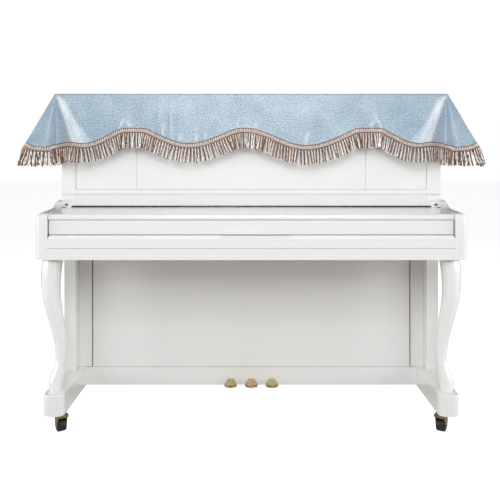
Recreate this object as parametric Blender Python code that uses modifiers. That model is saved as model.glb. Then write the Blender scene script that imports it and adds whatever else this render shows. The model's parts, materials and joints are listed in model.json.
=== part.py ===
# A draped top cover with a tassel fringe, on the plain upright piano that it hangs over.
# Metres, +Z up. The piano's front faces -Y. The origin is on the floor, at the middle of the whole.

import math

import bmesh
import bpy
from mathutils import Matrix, Vector

GAP = 0.0003                # between pieces that touch

# Piano. A depth is counted back from the front of the foot blocks.
FRONT_Y = -0.3666           # where depth 0 lies
TOP_Z = 1.2175              # top of the lid
LID_HALF = 0.759
LID_FRONT, LID_BACK = 0.262, 0.612
LID_THICK = 0.024
LID_ROUND = 0.010           # rounded edge of the lid, so that the cloth clears it by 2 mm
CASE_HALF = 0.737
CASE_WALL = 0.054
CASE_FRONT, CASE_BACK = 0.289, 0.600
WORKS_BACK = 0.548          # soundboard plane, with the back posts behind it
PANEL = 0.020               # thickness of the upper panels
PANEL_LOW = 0.850           # lower edge of the upper panels
PANEL_SEAM = 0.445          # where the centre panel meets the side panels
SEAM = 0.0026
LEDGE_LOW = 0.832
FALL_HINGE = (0.204, 0.786)  # depth and height of the key lid's hinge line
FALL_NOSE = (0.026, 0.755)   # depth and height of the key lid's front edge
FALL_HALF = 0.7136
FALL_FRONT_HALF = 0.7105
FALL_BACK_HALF = 0.6820
ARM_SWEEP = ((0.085, 0.7790), (0.160, 0.7815), (0.215, 0.7855), (0.240, 0.7935), (0.258, 0.8035),
             (0.2887, 0.8100))          # top of the arms, towards the case
SLIP_HALF = 0.7146
SLIP_TOP, SLIP_LOW = 0.6995, 0.655
SLIP_CHAMFER_LOW = 0.687    # lower edge of the chamfer along the slip's top
BED_LOW = 0.614             # underside of the key bed and arms
ARM_IN, ARM_OUT = 0.7150, 0.7577
KNEE_FRONT = 0.345          # front of the lower panel
KNEE_STILE = 0.6325         # inner edge of the narrow stiles beside the lower panel
FOOT_LOW, FOOT_TOP = 0.071, 0.144
FOOT_IN, FOOT_OUT = 0.655, 0.7276
WHEEL_R = 0.0235

# Cover. The cloth's middle surface bends over the lid's edge and hangs.
CLOTH = 0.0018
CLOTH_REACH = LID_HALF + 0.002 + CLOTH / 2
CLOTH_FRONT = LID_FRONT - 0.002 - CLOTH / 2
CLOTH_BACK = LID_BACK + 0.002 + CLOTH / 2
CLOTH_TOP = TOP_Z + GAP + CLOTH / 2
BEND = 0.008                # radius of the bend over the edge
CORNER = 0.003              # radius in plan where the bend starts
CREST_DROP = 0.1325         # from the cover's top to the braid at the high part of a scallop
CORNER_DROP = 0.195
FLARE = 0.05                # how far the cloth leans out, per metre of its fall
BRAID = 0.018
BRAID_THICK = 0.0026
LOCK = 0.056                # length of the fringe below its strip
LOCK_TIP = 0.62             # width of a lock's tip beside its root
LOCK_LEAN = 0.45            # 0 hangs straight down, 1 follows the cloth
STEPS = {"front": 44, "back": 44, "side": 10, "corner": 20}     # around the cover
LOCKS = {"front": 2, "back": 2, "side": 2, "corner": 1}         # in each of those steps


def depth_y(depth):
    """World y of a depth."""
    return FRONT_Y + depth


def clear_scene():
    for obj in list(bpy.data.objects):
        bpy.data.objects.remove(obj)


def make_material(name, colour, roughness, metallic=0.0):
    material = bpy.data.materials.new(name)
    material.use_nodes = True
    shader = material.node_tree.nodes["Principled BSDF"]
    shader.inputs["Base Color"].default_value = (*colour, 1.0)
    shader.inputs["Roughness"].default_value = roughness
    shader.inputs["Metallic"].default_value = metallic
    return material


def keep(obj, name, material):
    """Names a piece, gives it its material and puts it in the object's collection."""
    obj.name = name
    obj.data.name = name
    obj.data.materials.clear()
    obj.data.materials.append(material)
    for collection in list(obj.users_collection):
        collection.objects.unlink(obj)
    bpy.data.collections["covered_piano"].objects.link(obj)
    return obj


def box(name, x, depth, z, material, rounded=0.0):
    """A board between two places along each axis."""
    lows = Vector((x[0], depth_y(depth[0]), z[0]))
    highs = Vector((x[1], depth_y(depth[1]), z[1]))
    bpy.ops.mesh.primitive_cube_add(size=1, location=(lows + highs) / 2)
    obj = bpy.context.object
    obj.scale = highs - lows
    bpy.ops.object.transform_apply(location=False, rotation=False, scale=True)
    if rounded:
        edge = obj.modifiers.new("rounded", "BEVEL")
        edge.width = rounded
        edge.segments = 4
        edge.limit_method = "ANGLE"
    return keep(obj, name, material)


def outline_curve(points):
    data = bpy.data.curves.new("outline", "CURVE")
    data.dimensions = "2D"
    data.fill_mode = "BOTH"
    spline = data.splines.new("POLY")
    spline.points.add(len(points) - 1)
    for point, (a, b) in zip(spline.points, points):
        point.co = (a, b, 0, 1)
    spline.use_cyclic_u = True
    return bpy.data.objects.new("outline", data)


def profile_board(name, outline, x, material):
    """An outline of (depth, z) points, carried along x."""
    obj = outline_curve([(depth_y(depth), z) for depth, z in outline])
    obj.data.extrude = (x[1] - x[0]) / 2
    obj.rotation_euler = (math.pi / 2, 0, math.pi / 2)
    obj.location.x = (x[0] + x[1]) / 2
    bpy.context.scene.collection.objects.link(obj)
    return keep(obj, name, material)


def plan_board(name, outline, z, material):
    """An outline of (x, depth) points, carried up z."""
    obj = outline_curve([(x, depth_y(depth)) for x, depth in outline])
    obj.data.extrude = (z[1] - z[0]) / 2
    obj.location.z = (z[0] + z[1]) / 2
    bpy.context.scene.collection.objects.link(obj)
    return keep(obj, name, material)


def front_board(name, outline, depth, material):
    """An outline of (x, z) points, carried back from one depth to another."""
    obj = outline_curve(outline)
    obj.data.extrude = (depth[1] - depth[0]) / 2
    obj.rotation_euler = (math.pi / 2, 0, 0)
    obj.location.y = (depth_y(depth[0]) + depth_y(depth[1])) / 2
    bpy.context.scene.collection.objects.link(obj)
    return keep(obj, name, material)


def arc(centre, radius, start, end, steps):
    """Points of an arc, by angles in degrees."""
    angles = [math.radians(start + (end - start) * i / steps) for i in range(steps + 1)]
    return [(centre[0] + radius * math.cos(a), centre[1] + radius * math.sin(a)) for a in angles]


def span(side, inner, outer):
    """An x range on one side of the middle."""
    return tuple(sorted((side * inner, side * outer)))


def mesh_object(bm, name, material, smooth_angle=40):
    bmesh.ops.recalc_face_normals(bm, faces=bm.faces)
    data = bpy.data.meshes.new(name)
    bm.to_mesh(data)
    bm.free()
    data.shade_smooth()
    data.set_sharp_from_angle(angle=math.radians(smooth_angle))
    obj = bpy.data.objects.new(name, data)
    bpy.context.scene.collection.objects.link(obj)
    return keep(obj, name, material)


# The case

def build_case(lacquer, spruce, beech):
    inner = CASE_HALF - CASE_WALL
    for side, word in ((-1, "left"), (1, "right")):
        low, high = FOOT_TOP + GAP, TOP_Z - LID_THICK - GAP
        outline = [(inner, low), (FOOT_OUT, low), (FOOT_OUT, BED_LOW), (CASE_HALF, BED_LOW),
                   (CASE_HALF, high), (inner, high)]
        front_board(f"side_{word}", [(side * x, z) for x, z in outline],
                    (CASE_FRONT, CASE_BACK), lacquer)
        box(f"upper_panel_{word}", span(side, PANEL_SEAM + SEAM / 2, inner - SEAM),
            (CASE_FRONT + 0.001, CASE_FRONT + PANEL), (PANEL_LOW, TOP_Z - LID_THICK - GAP), lacquer)
        box(f"knee_stile_{word}", span(side, KNEE_STILE, inner - GAP),
            (KNEE_FRONT, KNEE_FRONT + PANEL), (FOOT_TOP + GAP, BED_LOW - GAP), lacquer)
    box("upper_panel_centre", (-PANEL_SEAM + SEAM / 2, PANEL_SEAM - SEAM / 2),
        (CASE_FRONT + 0.001, CASE_FRONT + PANEL), (PANEL_LOW, TOP_Z - LID_THICK - GAP), lacquer)
    box("lid", (-LID_HALF, LID_HALF), (LID_FRONT, LID_BACK), (TOP_Z - LID_THICK, TOP_Z),
        lacquer, LID_ROUND)
    nose, back = CASE_FRONT - 0.006, CASE_FRONT + PANEL
    plan_board("panel_ledge", [
        (-CASE_HALF, nose), (CASE_HALF, nose), (CASE_HALF, CASE_FRONT - GAP),
        (inner - GAP, CASE_FRONT - GAP), (inner - GAP, back), (-inner + GAP, back),
        (-inner + GAP, CASE_FRONT - GAP), (-CASE_HALF, CASE_FRONT - GAP)],
        (LEDGE_LOW, PANEL_LOW - 0.0012), lacquer)
    box("knee_panel", (-KNEE_STILE + 0.0045, KNEE_STILE - 0.0045),
        (KNEE_FRONT, KNEE_FRONT + PANEL), (FOOT_TOP + GAP, BED_LOW - GAP), lacquer)
    box("plinth", (-FOOT_IN + GAP, FOOT_IN - GAP), (KNEE_FRONT, KNEE_FRONT + PANEL),
        (FOOT_LOW, FOOT_TOP - 0.002), lacquer)
    bed_top = SLIP_LOW - GAP
    box("works_upper", (-inner + GAP, inner - GAP), (CASE_FRONT + PANEL + GAP, WORKS_BACK),
        (bed_top + GAP, TOP_Z - LID_THICK - GAP), spruce)
    box("works_lower", (-inner + GAP, inner - GAP), (KNEE_FRONT + PANEL + GAP, WORKS_BACK),
        (FOOT_TOP + GAP, BED_LOW - GAP), spruce)
    build_back(inner, beech)


def build_back(inner, beech):
    """Five posts between a top and a bottom rail, behind the soundboard."""
    rail, post, posts = 0.090, 0.070, 5
    depth = (WORKS_BACK + GAP, CASE_BACK - 0.002)
    low, high = FOOT_TOP + 0.010, TOP_Z - LID_THICK - GAP
    width = (-inner + GAP, inner - GAP)
    box("back_rail_low", width, depth, (low, low + rail), beech)
    box("back_rail_top", width, depth, (high - rail, high), beech)
    first = -inner + 0.12
    for i in range(posts):
        x = first + i * (-2 * first) / (posts - 1)
        box(f"back_post_{i + 1}", (x - post / 2, x + post / 2), depth,
            (low + rail + GAP, high - rail - GAP), beech)


def build_keyboard_end(lacquer, steel):
    """The closed key lid, the slip and bed below it, and the arms at their ends."""
    inner = CASE_HALF - CASE_WALL
    hinge_depth, hinge_z = FALL_HINGE
    nose_depth, nose_z = FALL_NOSE
    back_top, knuckle = LEDGE_LOW - 0.003, hinge_z + 0.006
    profile_board("fall_back", [
        (hinge_depth + 0.0085, SLIP_TOP + 0.01), (CASE_FRONT + PANEL, SLIP_TOP + 0.01),
        (CASE_FRONT + PANEL, back_top), (CASE_FRONT - 0.011, back_top),
        (CASE_FRONT - 0.0145, back_top - 0.0025), (hinge_depth + 0.0055, knuckle),
        (hinge_depth + 0.0085, knuckle)], (-FALL_BACK_HALF, FALL_BACK_HALF), lacquer)
    nose = arc((nose_depth + 0.012, nose_z + 0.007), 0.012, 180, 82, 5)
    profile_board("fall_lid", [
        (nose_depth, nose_z), *nose, (hinge_depth, hinge_z),
        (hinge_depth, hinge_z - 0.020), (nose_depth + 0.05, nose_z)],
        (-FALL_HALF, FALL_HALF), lacquer)
    front, low = nose_depth + 0.003, SLIP_TOP + 0.0025
    profile_board("fall_front", [
        (front, low), (front, nose_z - 0.003), (front + 0.005, nose_z - 0.003),
        (front + 0.005, nose_z - GAP), (front + 0.018, nose_z - GAP), (front + 0.018, low)],
        (-FALL_FRONT_HALF, FALL_FRONT_HALF), lacquer)
    box("fall_hinge", (-inner + 0.006, inner - 0.006),
        (hinge_depth + GAP, hinge_depth + 0.0052), (hinge_z - 0.016, hinge_z + 0.0055), steel)
    build_key_slip(lacquer)
    front_end, bed_back = 0.016, CASE_FRONT - GAP
    plan_board("key_bed", [
        (-SLIP_HALF, front_end), (SLIP_HALF, front_end), (SLIP_HALF, bed_back),
        (inner - GAP, bed_back), (inner - GAP, WORKS_BACK), (-inner + GAP, WORKS_BACK),
        (-inner + GAP, bed_back), (-SLIP_HALF, bed_back)], (BED_LOW, SLIP_LOW - 0.001), lacquer)
    for side, word in ((-1, "left"), (1, "right")):
        top = [*arc((0.038, 0.756), 0.020, 180, 95, 5), *ARM_SWEEP]
        arm = profile_board(f"arm_{word}", [(0.018, BED_LOW), *top, (CASE_FRONT - GAP, BED_LOW)],
                            span(side, ARM_IN, ARM_OUT), lacquer)
        round_off(arm, 0.017, 4, lambda points: (
            all(side * x > ARM_OUT - 0.001 for x, depth, z in points)
            and (all(z > BED_LOW + 0.001 for x, depth, z in points)
                 or all(depth < 0.019 for x, depth, z in points))))
        low = [point for point in ARM_SWEEP if point[0] > hinge_depth + 0.004]
        profile_board(f"cheek_{word}", [(hinge_depth + 0.004, SLIP_TOP + 0.01),
                                        (hinge_depth + 0.004, 0.7835), *low,
                                        (CASE_FRONT - GAP, SLIP_TOP + 0.01)],
                      span(side, FALL_BACK_HALF + GAP, ARM_IN - GAP), lacquer)


def build_key_slip(lacquer):
    """A board with a chamfer along its top, left out at the finger lip in the middle."""
    def section(x, chamfer_low, chamfer_back, top):
        outline = [(0.014, SLIP_LOW), (0.014, chamfer_low), (chamfer_back, top), (0.034, top), (0.034, SLIP_LOW)]
        return [(x, depth_y(depth), z) for depth, z in outline]
    low, back = SLIP_CHAMFER_LOW, 0.0245
    lip = [(-0.1205, 0.0), (-0.1130, 0.25), (-0.1040, 0.75), (-0.0920, 1.0),
           (0.1110, 1.0), (0.1230, 0.75), (0.1320, 0.25), (0.1395, 0.0)]
    rings = [section(-SLIP_HALF, low - 0.0005, 0.0145, low), section(-SLIP_HALF + 0.007, low, back, SLIP_TOP)]
    rings += [section(x, low + 0.0115 * share, back - 0.0095 * share, SLIP_TOP) for x, share in lip]
    rings += [section(SLIP_HALF - 0.007, low, back, SLIP_TOP), section(SLIP_HALF, low - 0.0005, 0.0145, low)]
    mesh_object(loft(rings), "key_slip", lacquer, 25)


def round_off(board, radius, segments, chosen):
    """Rounds the chosen edges of a board, by their ends' (x, depth, z)."""
    evaluated = board.evaluated_get(bpy.context.evaluated_depsgraph_get())
    data = bpy.data.meshes.new_from_object(evaluated)
    data.transform(board.matrix_world)
    bm = bmesh.new()
    bm.from_mesh(data)
    bmesh.ops.remove_doubles(bm, verts=bm.verts, dist=0.0001)
    bmesh.ops.dissolve_limit(bm, angle_limit=math.radians(1), verts=bm.verts, edges=bm.edges)
    edges = [edge for edge in bm.edges
             if chosen([(v.co.x, v.co.y - FRONT_Y, v.co.z) for v in edge.verts])]
    bmesh.ops.bevel(bm, geom=edges, offset=radius, segments=segments, profile=0.5, affect="EDGES")
    name, material = board.name, board.data.materials[0]
    bpy.data.objects.remove(board)
    return mesh_object(bm, name, material, 35)


LEG_SECTIONS = (
    # height, distance from the middle, depth, width, thickness
    (0.6137, 0.7060, 0.071, 0.0664, 0.080),
    (0.5960, 0.7097, 0.069, 0.0672, 0.080),
    (0.5713, 0.7127, 0.067, 0.0665, 0.080),
    (0.5393, 0.7145, 0.066, 0.0646, 0.078),
    (0.5072, 0.7144, 0.066, 0.0628, 0.075),
    (0.4749, 0.7122, 0.067, 0.0606, 0.070),
    (0.4459, 0.7081, 0.069, 0.0586, 0.066),
    (0.4169, 0.7029, 0.071, 0.0566, 0.061),
    (0.3876, 0.6975, 0.074, 0.0537, 0.057),
    (0.3582, 0.6924, 0.077, 0.0492, 0.053),
    (0.3290, 0.6878, 0.079, 0.0440, 0.050),
    (0.3000, 0.6843, 0.080, 0.0402, 0.047),
    (0.2713, 0.6825, 0.080, 0.0374, 0.046),
    (0.2468, 0.6823, 0.078, 0.0350, 0.047),
    (0.2262, 0.6842, 0.075, 0.0364, 0.050),
    (0.2095, 0.6882, 0.071, 0.0425, 0.054),
    (0.1925, 0.6927, 0.068, 0.0492, 0.058),
    (0.1753, 0.6957, 0.066, 0.0520, 0.060),
    (0.1592, 0.6963, 0.066, 0.0500, 0.060),
    (0.1443, 0.6950, 0.066, 0.0440, 0.057),
)


def rounded_section(width, thickness):
    """A section with round corners, in order round its middle."""
    a, b = width / 2, thickness / 2
    radius = min(0.42 * width, 0.8 * b)
    points = []
    for x, y, start in ((1, 1, 0), (-1, 1, 90), (-1, -1, 180), (1, -1, 270)):
        points += arc((x * (a - radius), y * (b - radius)), radius, start, start + 90, 2)
    return points


def loft(rings):
    """A closed body through rings with as many points each."""
    bm = bmesh.new()
    made = [[bm.verts.new(point) for point in ring] for ring in rings]
    count = len(made[0])
    for low, high in zip(made, made[1:]):
        for i in range(count):
            j = (i + 1) % count
            bm.faces.new((low[i], low[j], high[j], high[i]))
    bm.faces.new(made[0])
    bm.faces.new(made[-1])
    return bm


def build_legs(lacquer):
    for side, word in ((-1, "left"), (1, "right")):
        rings = []
        for height, out, depth, width, thickness in LEG_SECTIONS:
            section = rounded_section(width, thickness)
            rings.append([(side * out + a, depth_y(depth) + b, height) for a, b in section])
        mesh_object(loft(rings), f"leg_{word}", lacquer, 50)


def build_feet(lacquer, brass, rubber):
    """The long foot blocks and their four casters."""
    for side, word in ((-1, "left"), (1, "right")):
        middle = (FOOT_IN + FOOT_OUT) / 2
        half, bend = (FOOT_OUT - FOOT_IN) / 2, 0.027
        front = [*arc((middle - half + bend, bend), bend, 180, 270, 4),
                 *arc((middle + half - bend, bend), bend, 270, 360, 4)]
        outline = [*front, (FOOT_OUT, CASE_BACK), (FOOT_IN, CASE_BACK)]
        foot = plan_board(f"foot_{word}", [(side * x, depth) for x, depth in outline],
                          (FOOT_LOW, FOOT_TOP), lacquer)
        round_off(foot, 0.004, 2, lambda points: all(
            z > FOOT_TOP - 0.001 and depth < CASE_BACK - 0.001 for x, depth, z in points))
        for depth, place, turn, trail in ((0.060, "front", -28 * side, 0.014), (0.568, "back", 14 * side, 0)):
            build_caster(f"{place}_{word}", side * (middle - trail), depth, turn, brass, rubber)


def build_caster(name, x, depth, turn, brass, rubber):
    """A fork below the foot block and a wheel between its cheeks."""
    cheek, wheel, reach = 0.003, 0.030, 0.017
    fork_top = FOOT_LOW - GAP
    half_in, half_out = wheel / 2 + GAP, wheel / 2 + GAP + cheek
    crown = fork_top - 0.0165
    outline = [(-half_out, WHEEL_R - 0.004), (-half_in, WHEEL_R - 0.004), (-half_in, crown),
               (half_in, crown), (half_in, WHEEL_R - 0.004), (half_out, WHEEL_R - 0.004),
               (half_out, fork_top - 0.004), (0.022, fork_top - 0.004), (0.022, fork_top),
               (-0.022, fork_top), (-0.022, fork_top - 0.004), (-half_out, fork_top - 0.004)]
    fork = outline_curve(outline)
    fork.data.extrude = reach
    fork.rotation_euler = (math.pi / 2, 0, math.radians(turn))
    fork.location = (x, depth_y(depth), 0)
    bpy.context.scene.collection.objects.link(fork)
    keep(fork, f"caster_fork_{name}", brass)
    # A side of the wheel, not a corner, is turned to the floor.
    sides = 24
    bpy.ops.mesh.primitive_cylinder_add(
        vertices=sides, radius=WHEEL_R / math.cos(math.pi / sides), depth=wheel,
        location=(x, depth_y(depth), WHEEL_R))
    obj = bpy.context.object
    obj.rotation_mode = "XYZ"
    bpy.ops.object.transform_apply(location=False, rotation=False, scale=True)
    obj.data.transform(half_facet_turn(sides))
    obj.rotation_euler = (math.pi / 2, 0, math.radians(turn) + math.pi / 2)
    keep(obj, f"caster_wheel_{name}", rubber)


def half_facet_turn(sides):
    """Turns a cylinder by half a side about its own axis."""
    return Matrix.Rotation(math.pi / sides, 4, "Z")


def build_pedals(brass):
    """Three plain pedals in front of the plinth, widening to a round end."""
    pitch, low, high = 0.080, 0.086, 0.096
    neck, end_depth, end_round = 0.011, 0.285, 0.024
    for i, word in enumerate(("left", "middle", "right")):
        x = (i - 1) * pitch
        end = arc((x, end_depth), end_round, 0, -180, 8)
        plan_board(f"pedal_{word}", [(x - neck, KNEE_FRONT - GAP), *end[::-1],
                                     (x + neck, KNEE_FRONT - GAP)], (low, high), brass)


# The cover

FRONT_CRESTS = (
    # centre along the edge, half of its level top
    (-0.4545, 0.0455), (-0.029, 0.024), (0.454, 0.048),
)
FRONT_LOBES = (
    # centre along the edge, drop from the cover's top, ease towards the crest on its left and on its right
    (-0.652, 0.193, 0.0, 0.25), (-0.2395, 0.1915, 0.3, 0.35), (0.211, 0.199, 0.75, 0.2), (0.645, 0.192, 0.3, 0.0),
)
END_RISE = 0.007            # a low rise of the edge between the last lobe and the corner
SIDE_CREST = 0.026          # half of the level top at the middle of each side

FOLD = (
    # The fold that hangs from each corner, mirrored about the corner's middle.
    # flat angle from the middle in degrees, lean along the edge, lean out, extra length at the hem
    (0.0, -0.372, 0.372, 0.029),
    (10.0, -0.184, 0.440, 0.037),
    (20.0, -0.012, 0.418, 0.031),
    (32.0, 0.001, 0.235, 0.010),
    (45.0, 0.012, 0.022, 0.0),
    (72.0, 0.450, 0.165, 0.0),
    (92.0, 0.731, 0.034, 0.0),
    (112.0, 0.920, 0.019, 0.0),
)
FOLD_END = 92.0             # beyond this the cloth hangs as a plain leaning sheet

HALF_X = CLOTH_REACH - BEND - CORNER
HALF_Y = (CLOTH_BACK - CLOTH_FRONT) / 2 - BEND - CORNER
MIDDLE_Y = depth_y((CLOTH_FRONT + CLOTH_BACK) / 2)
BEND_LENGTH = BEND * math.pi / 2
FAN = 0.22 * math.pi / 2    # length given to a corner in the run round the cover

RUNS = (
    # kind, length, outward direction of the edge or of the edge before the corner
    ("front", 2 * HALF_X, (0, -1)), ("corner", FAN, (0, -1)),
    ("side", 2 * HALF_Y, (1, 0)), ("corner", FAN, (1, 0)),
    ("back", 2 * HALF_X, (0, 1)), ("corner", FAN, (0, 1)),
    ("side", 2 * HALF_Y, (-1, 0)), ("corner", FAN, (-1, 0)),
)
AROUND = sum(length for kind, length, out in RUNS)
STRIPS = ("front", "front_right", "right", "back_right", "back", "back_left", "left", "front_left")


def find_run(place):
    """The run that a place round the cover lies in, and how far along that run it is."""
    place %= AROUND
    for run in RUNS:
        if place <= run[1]:
            return run, place
        place -= run[1]
    return RUNS[-1], RUNS[-1][1]


def turned(direction):
    """A plan direction turned a quarter to the left."""
    return (-direction[1], direction[0])


def scallop(along):
    """Drop of a long edge: level crests, round lobes between them."""
    crests = [(c - h, c + h) for c, h in FRONT_CRESTS]
    if any(start <= along <= end for start, end in crests):
        return CREST_DROP
    before = [end for start, end in crests if end < along]
    after = [start for start, end in crests if start > along]
    low = before[-1] if before else -HALF_X
    high = after[0] if after else HALF_X
    centre, drop, ease_left, ease_right = next(row for row in FRONT_LOBES if low < row[0] < high)
    if along < centre and before:
        share, ease = (along - low) / (centre - low), ease_left
    elif along >= centre and after:
        share, ease = (high - along) / (high - centre), ease_right
    else:
        share = abs(along - centre) / (HALF_X - abs(centre))
        return drop + (CORNER_DROP - drop) * share - END_RISE * math.sin(math.pi * share)
    fall = (1 - ease) * math.sin(share * math.pi / 2) + ease * (1 - math.cos(share * math.pi)) / 2
    return CREST_DROP + (drop - CREST_DROP) * fall


def drop_at(place):
    """How far the cloth hangs, along itself, from the cover's top to the braid."""
    (kind, length, out), along = find_run(place)
    if kind in ("front", "back"):
        return scallop(along - length / 2)
    if kind == "side":
        from_crest = max(0.0, abs(along - length / 2) - SIDE_CREST)
        share = from_crest / (length / 2 - SIDE_CREST)
        return CREST_DROP + (CORNER_DROP - CREST_DROP) * math.sin(share * math.pi / 2)
    turn = 90 * along / length
    return CORNER_DROP + fold_row(abs(turn - 45))[2]


def fold_row(angle):
    """Values of the fold's table at a flat angle, on a smooth curve through its rows."""
    angle = abs(angle)
    rows = [(-FOLD[1][0], -FOLD[1][2], -FOLD[1][1], FOLD[1][3]), *FOLD]
    i = max(k for k in range(1, len(rows) - 2) if rows[k][0] <= angle)
    before, low, high, after = rows[i - 1:i + 3]
    width = high[0] - low[0]
    share = (angle - low[0]) / width
    values = []
    for k in (1, 2, 3):
        slope_low = (high[k] - before[k]) / (high[0] - before[0]) * width
        slope_high = (after[k] - low[k]) / (after[0] - low[0]) * width
        values.append(low[k] * (1 + 2 * share) * (1 - share) ** 2
                      + slope_low * share * (1 - share) ** 2
                      + high[k] * share ** 2 * (3 - 2 * share)
                      + slope_high * share ** 2 * (share - 1))
    return values


def cloth_point(place, reach):
    """A point of the cloth's middle surface, so far along the cloth from where its bend starts."""
    (kind, length, out), along = find_run(place)
    ahead = turned(out)
    half, side_half = (HALF_X, HALF_Y) if out[1] else (HALF_Y, HALF_X)
    way, sideways = out, min(max(along - half, -half), half)
    lean, unit, slip = (0.0, FLARE), 1.0, 0.0
    if kind == "corner":
        angle = along / length * math.pi / 2
        way = tuple(a * math.cos(angle) + b * math.sin(angle) for a, b in zip(out, ahead))
        sideways = half
        inboard, outward, extra = fold_row(math.degrees(angle) - 45)
        lean = (-inboard, outward) if angle <= math.pi / 4 else (outward, -inboard)
    elif reach > BEND:
        inset = min(along, length - along)
        slope = inset / (reach - BEND)
        flat = 45 + math.degrees(math.atan(slope))
        if flat < FOLD_END:
            # The fold is a cone from the corner, so the lean along the edge starts there.
            toward = 1 if along < half else -1
            inboard, outward, extra = fold_row(flat)
            stretch = math.hypot(1, slope)
            lean = (toward * (inboard * stretch - slope), outward * stretch)
            slip, unit = toward * slope, stretch ** 2
    x = ahead[0] * sideways + out[0] * side_half + CORNER * way[0]
    y = ahead[1] * sideways + out[1] * side_half + CORNER * way[1]
    shift = (ahead[0] * lean[0] + out[0] * lean[1], ahead[1] * lean[0] + out[1] * lean[1])
    last_turn = math.acos(min(max(shift[0] * way[0] + shift[1] * way[1], 0.0), 0.9))
    turn = min(reach / BEND, last_turn)
    x += way[0] * BEND * math.sin(turn)
    y += way[1] * BEND * math.sin(turn)
    z = CLOTH_TOP - BEND * (1 - math.cos(turn))
    hang = max(0.0, reach - BEND * last_turn)
    fall = math.sqrt(max(unit - (lean[0] + slip) ** 2 - lean[1] ** 2, 0.04))
    return Vector((x + shift[0] * hang, MIDDLE_Y + y + shift[1] * hang, z - hang * fall))


def reach_at(place):
    """Length along the cloth from the start of its bend to the braid."""
    return drop_at(place) + BEND_LENGTH - BEND


def stations():
    """Places round the cover, closer together at the corners."""
    places, start = [], 0.0
    for kind, length, out in RUNS:
        steps = STEPS[kind]
        places += [start + length * i / steps for i in range(steps)]
        start += length
    return places


def build_cover(cloth):
    """An open surface of rings round the lid, thickened."""
    bends = [BEND_LENGTH * i / 2 for i in range(3)]
    shares = (0.20, 0.45, 0.72, 1.0)
    places = stations()
    rings = []
    bm = bmesh.new()
    for level in range(len(bends) + len(shares)):
        ring = []
        for place in places:
            if level < len(bends):
                reach = bends[level]
            else:
                reach = BEND_LENGTH + (reach_at(place) - BEND_LENGTH) * shares[level - len(bends)]
            ring.append(bm.verts.new(cloth_point(place, reach)))
        rings.append(ring)
    count = len(places)
    for inner, outer in zip(rings, rings[1:]):
        for i in range(count):
            j = (i + 1) % count
            bm.faces.new((inner[i], outer[i], outer[j], inner[j]))
    cover_top(bm, rings[0], places)
    obj = mesh_object(bm, "cover", cloth)
    thick = obj.modifiers.new("thick", "SOLIDIFY")
    thick.thickness = CLOTH
    thick.offset = 0
    return obj


def cover_top(bm, ring, places):
    """The level top: strips from front to back, and one face at each end."""
    kinds = [find_run(place + 1e-6)[0] for place in places]
    front = [v for v, run in zip(ring, kinds) if run[0] == "front"]
    back = [v for v, run in zip(ring, kinds) if run[0] == "back"]
    for i in range(1, len(front) - 1):
        bm.faces.new((front[i], front[i + 1], back[-i - 1], back[-i]))
    first, last = ring.index(front[-1]), ring.index(back[1])
    bm.faces.new(ring[first:last + 1])
    first, last = ring.index(back[-1]), ring.index(front[1])
    bm.faces.new(ring[first:] + ring[:last + 1])


def hem_frame(place):
    """At the cloth's edge: the point, the way out of the cloth and the way down it."""
    small = 0.002
    point = cloth_point(place, reach_at(place))
    along = (cloth_point(place + small, reach_at(place + small))
             - cloth_point(place - small, reach_at(place - small))).normalized()
    fall = (point - cloth_point(place, reach_at(place) - 0.01)).normalized()
    out = fall.cross(along).normalized()
    return point, out, along.cross(out).normalized()


def blend(a, b, share):
    return tuple(p.lerp(q, share) for p, q in zip(a, b))


def fringe_frames(first, last):
    """Frames between the locks, from one station round the cover to another."""
    places = stations()
    count = len(places)
    frames = []
    for i in range(first, last):
        a, b = hem_frame(places[i % count]), hem_frame(places[(i + 1) % count])
        middle = (places[i % count] + 1e-6) % AROUND
        locks = LOCKS[find_run(middle)[0][0]]
        frames += [blend(a, b, k / locks) for k in range(locks)]
    frames.append(hem_frame(places[last % count]))
    for end, inner in ((0, 1), (-1, -2)):
        length = (frames[end][0] - frames[inner][0]).length
        frames[end] = blend(frames[end], frames[inner], GAP / length)
    return frames


def build_fringe(name, first, last, yarn):
    """A narrow strip below the cloth's edge, with tapered locks side by side under it."""
    bm = bmesh.new()
    rings, falls = [], []
    for point, out, down in fringe_frames(first, last):
        top, low, half = point + down * GAP * 2, point + down * BRAID, out * BRAID_THICK / 2
        rings.append([bm.verts.new(p) for p in (top - half, top + half, low + half, low - half)])
        falls.append((down * LOCK_LEAN + Vector((0, 0, LOCK_LEAN - 1))).normalized())
    for i, (a, b) in enumerate(zip(rings, rings[1:])):
        for j, k in ((0, 1), (1, 2), (3, 0)):
            bm.faces.new((a[j], b[j], b[k], a[k]))
        add_lock(bm, (a[2], b[2], b[3], a[3]), (falls[i], falls[i + 1], falls[i + 1], falls[i]))
    bm.faces.new(rings[0])
    bm.faces.new(rings[-1])
    return mesh_object(bm, name, yarn, 30)


def add_lock(bm, root, falls):
    """One lock, narrower at its tip, from the open quad between two rings of the strip."""
    ends = [v.co + fall * LOCK for v, fall in zip(root, falls)]
    middle = sum(ends, Vector()) / 4
    tip = [bm.verts.new(middle + (end - middle) * LOCK_TIP) for end in ends]
    for i in range(4):
        j = (i + 1) % 4
        bm.faces.new((root[i], root[j], tip[j], tip[i]))
    bm.faces.new(tip)


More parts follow.
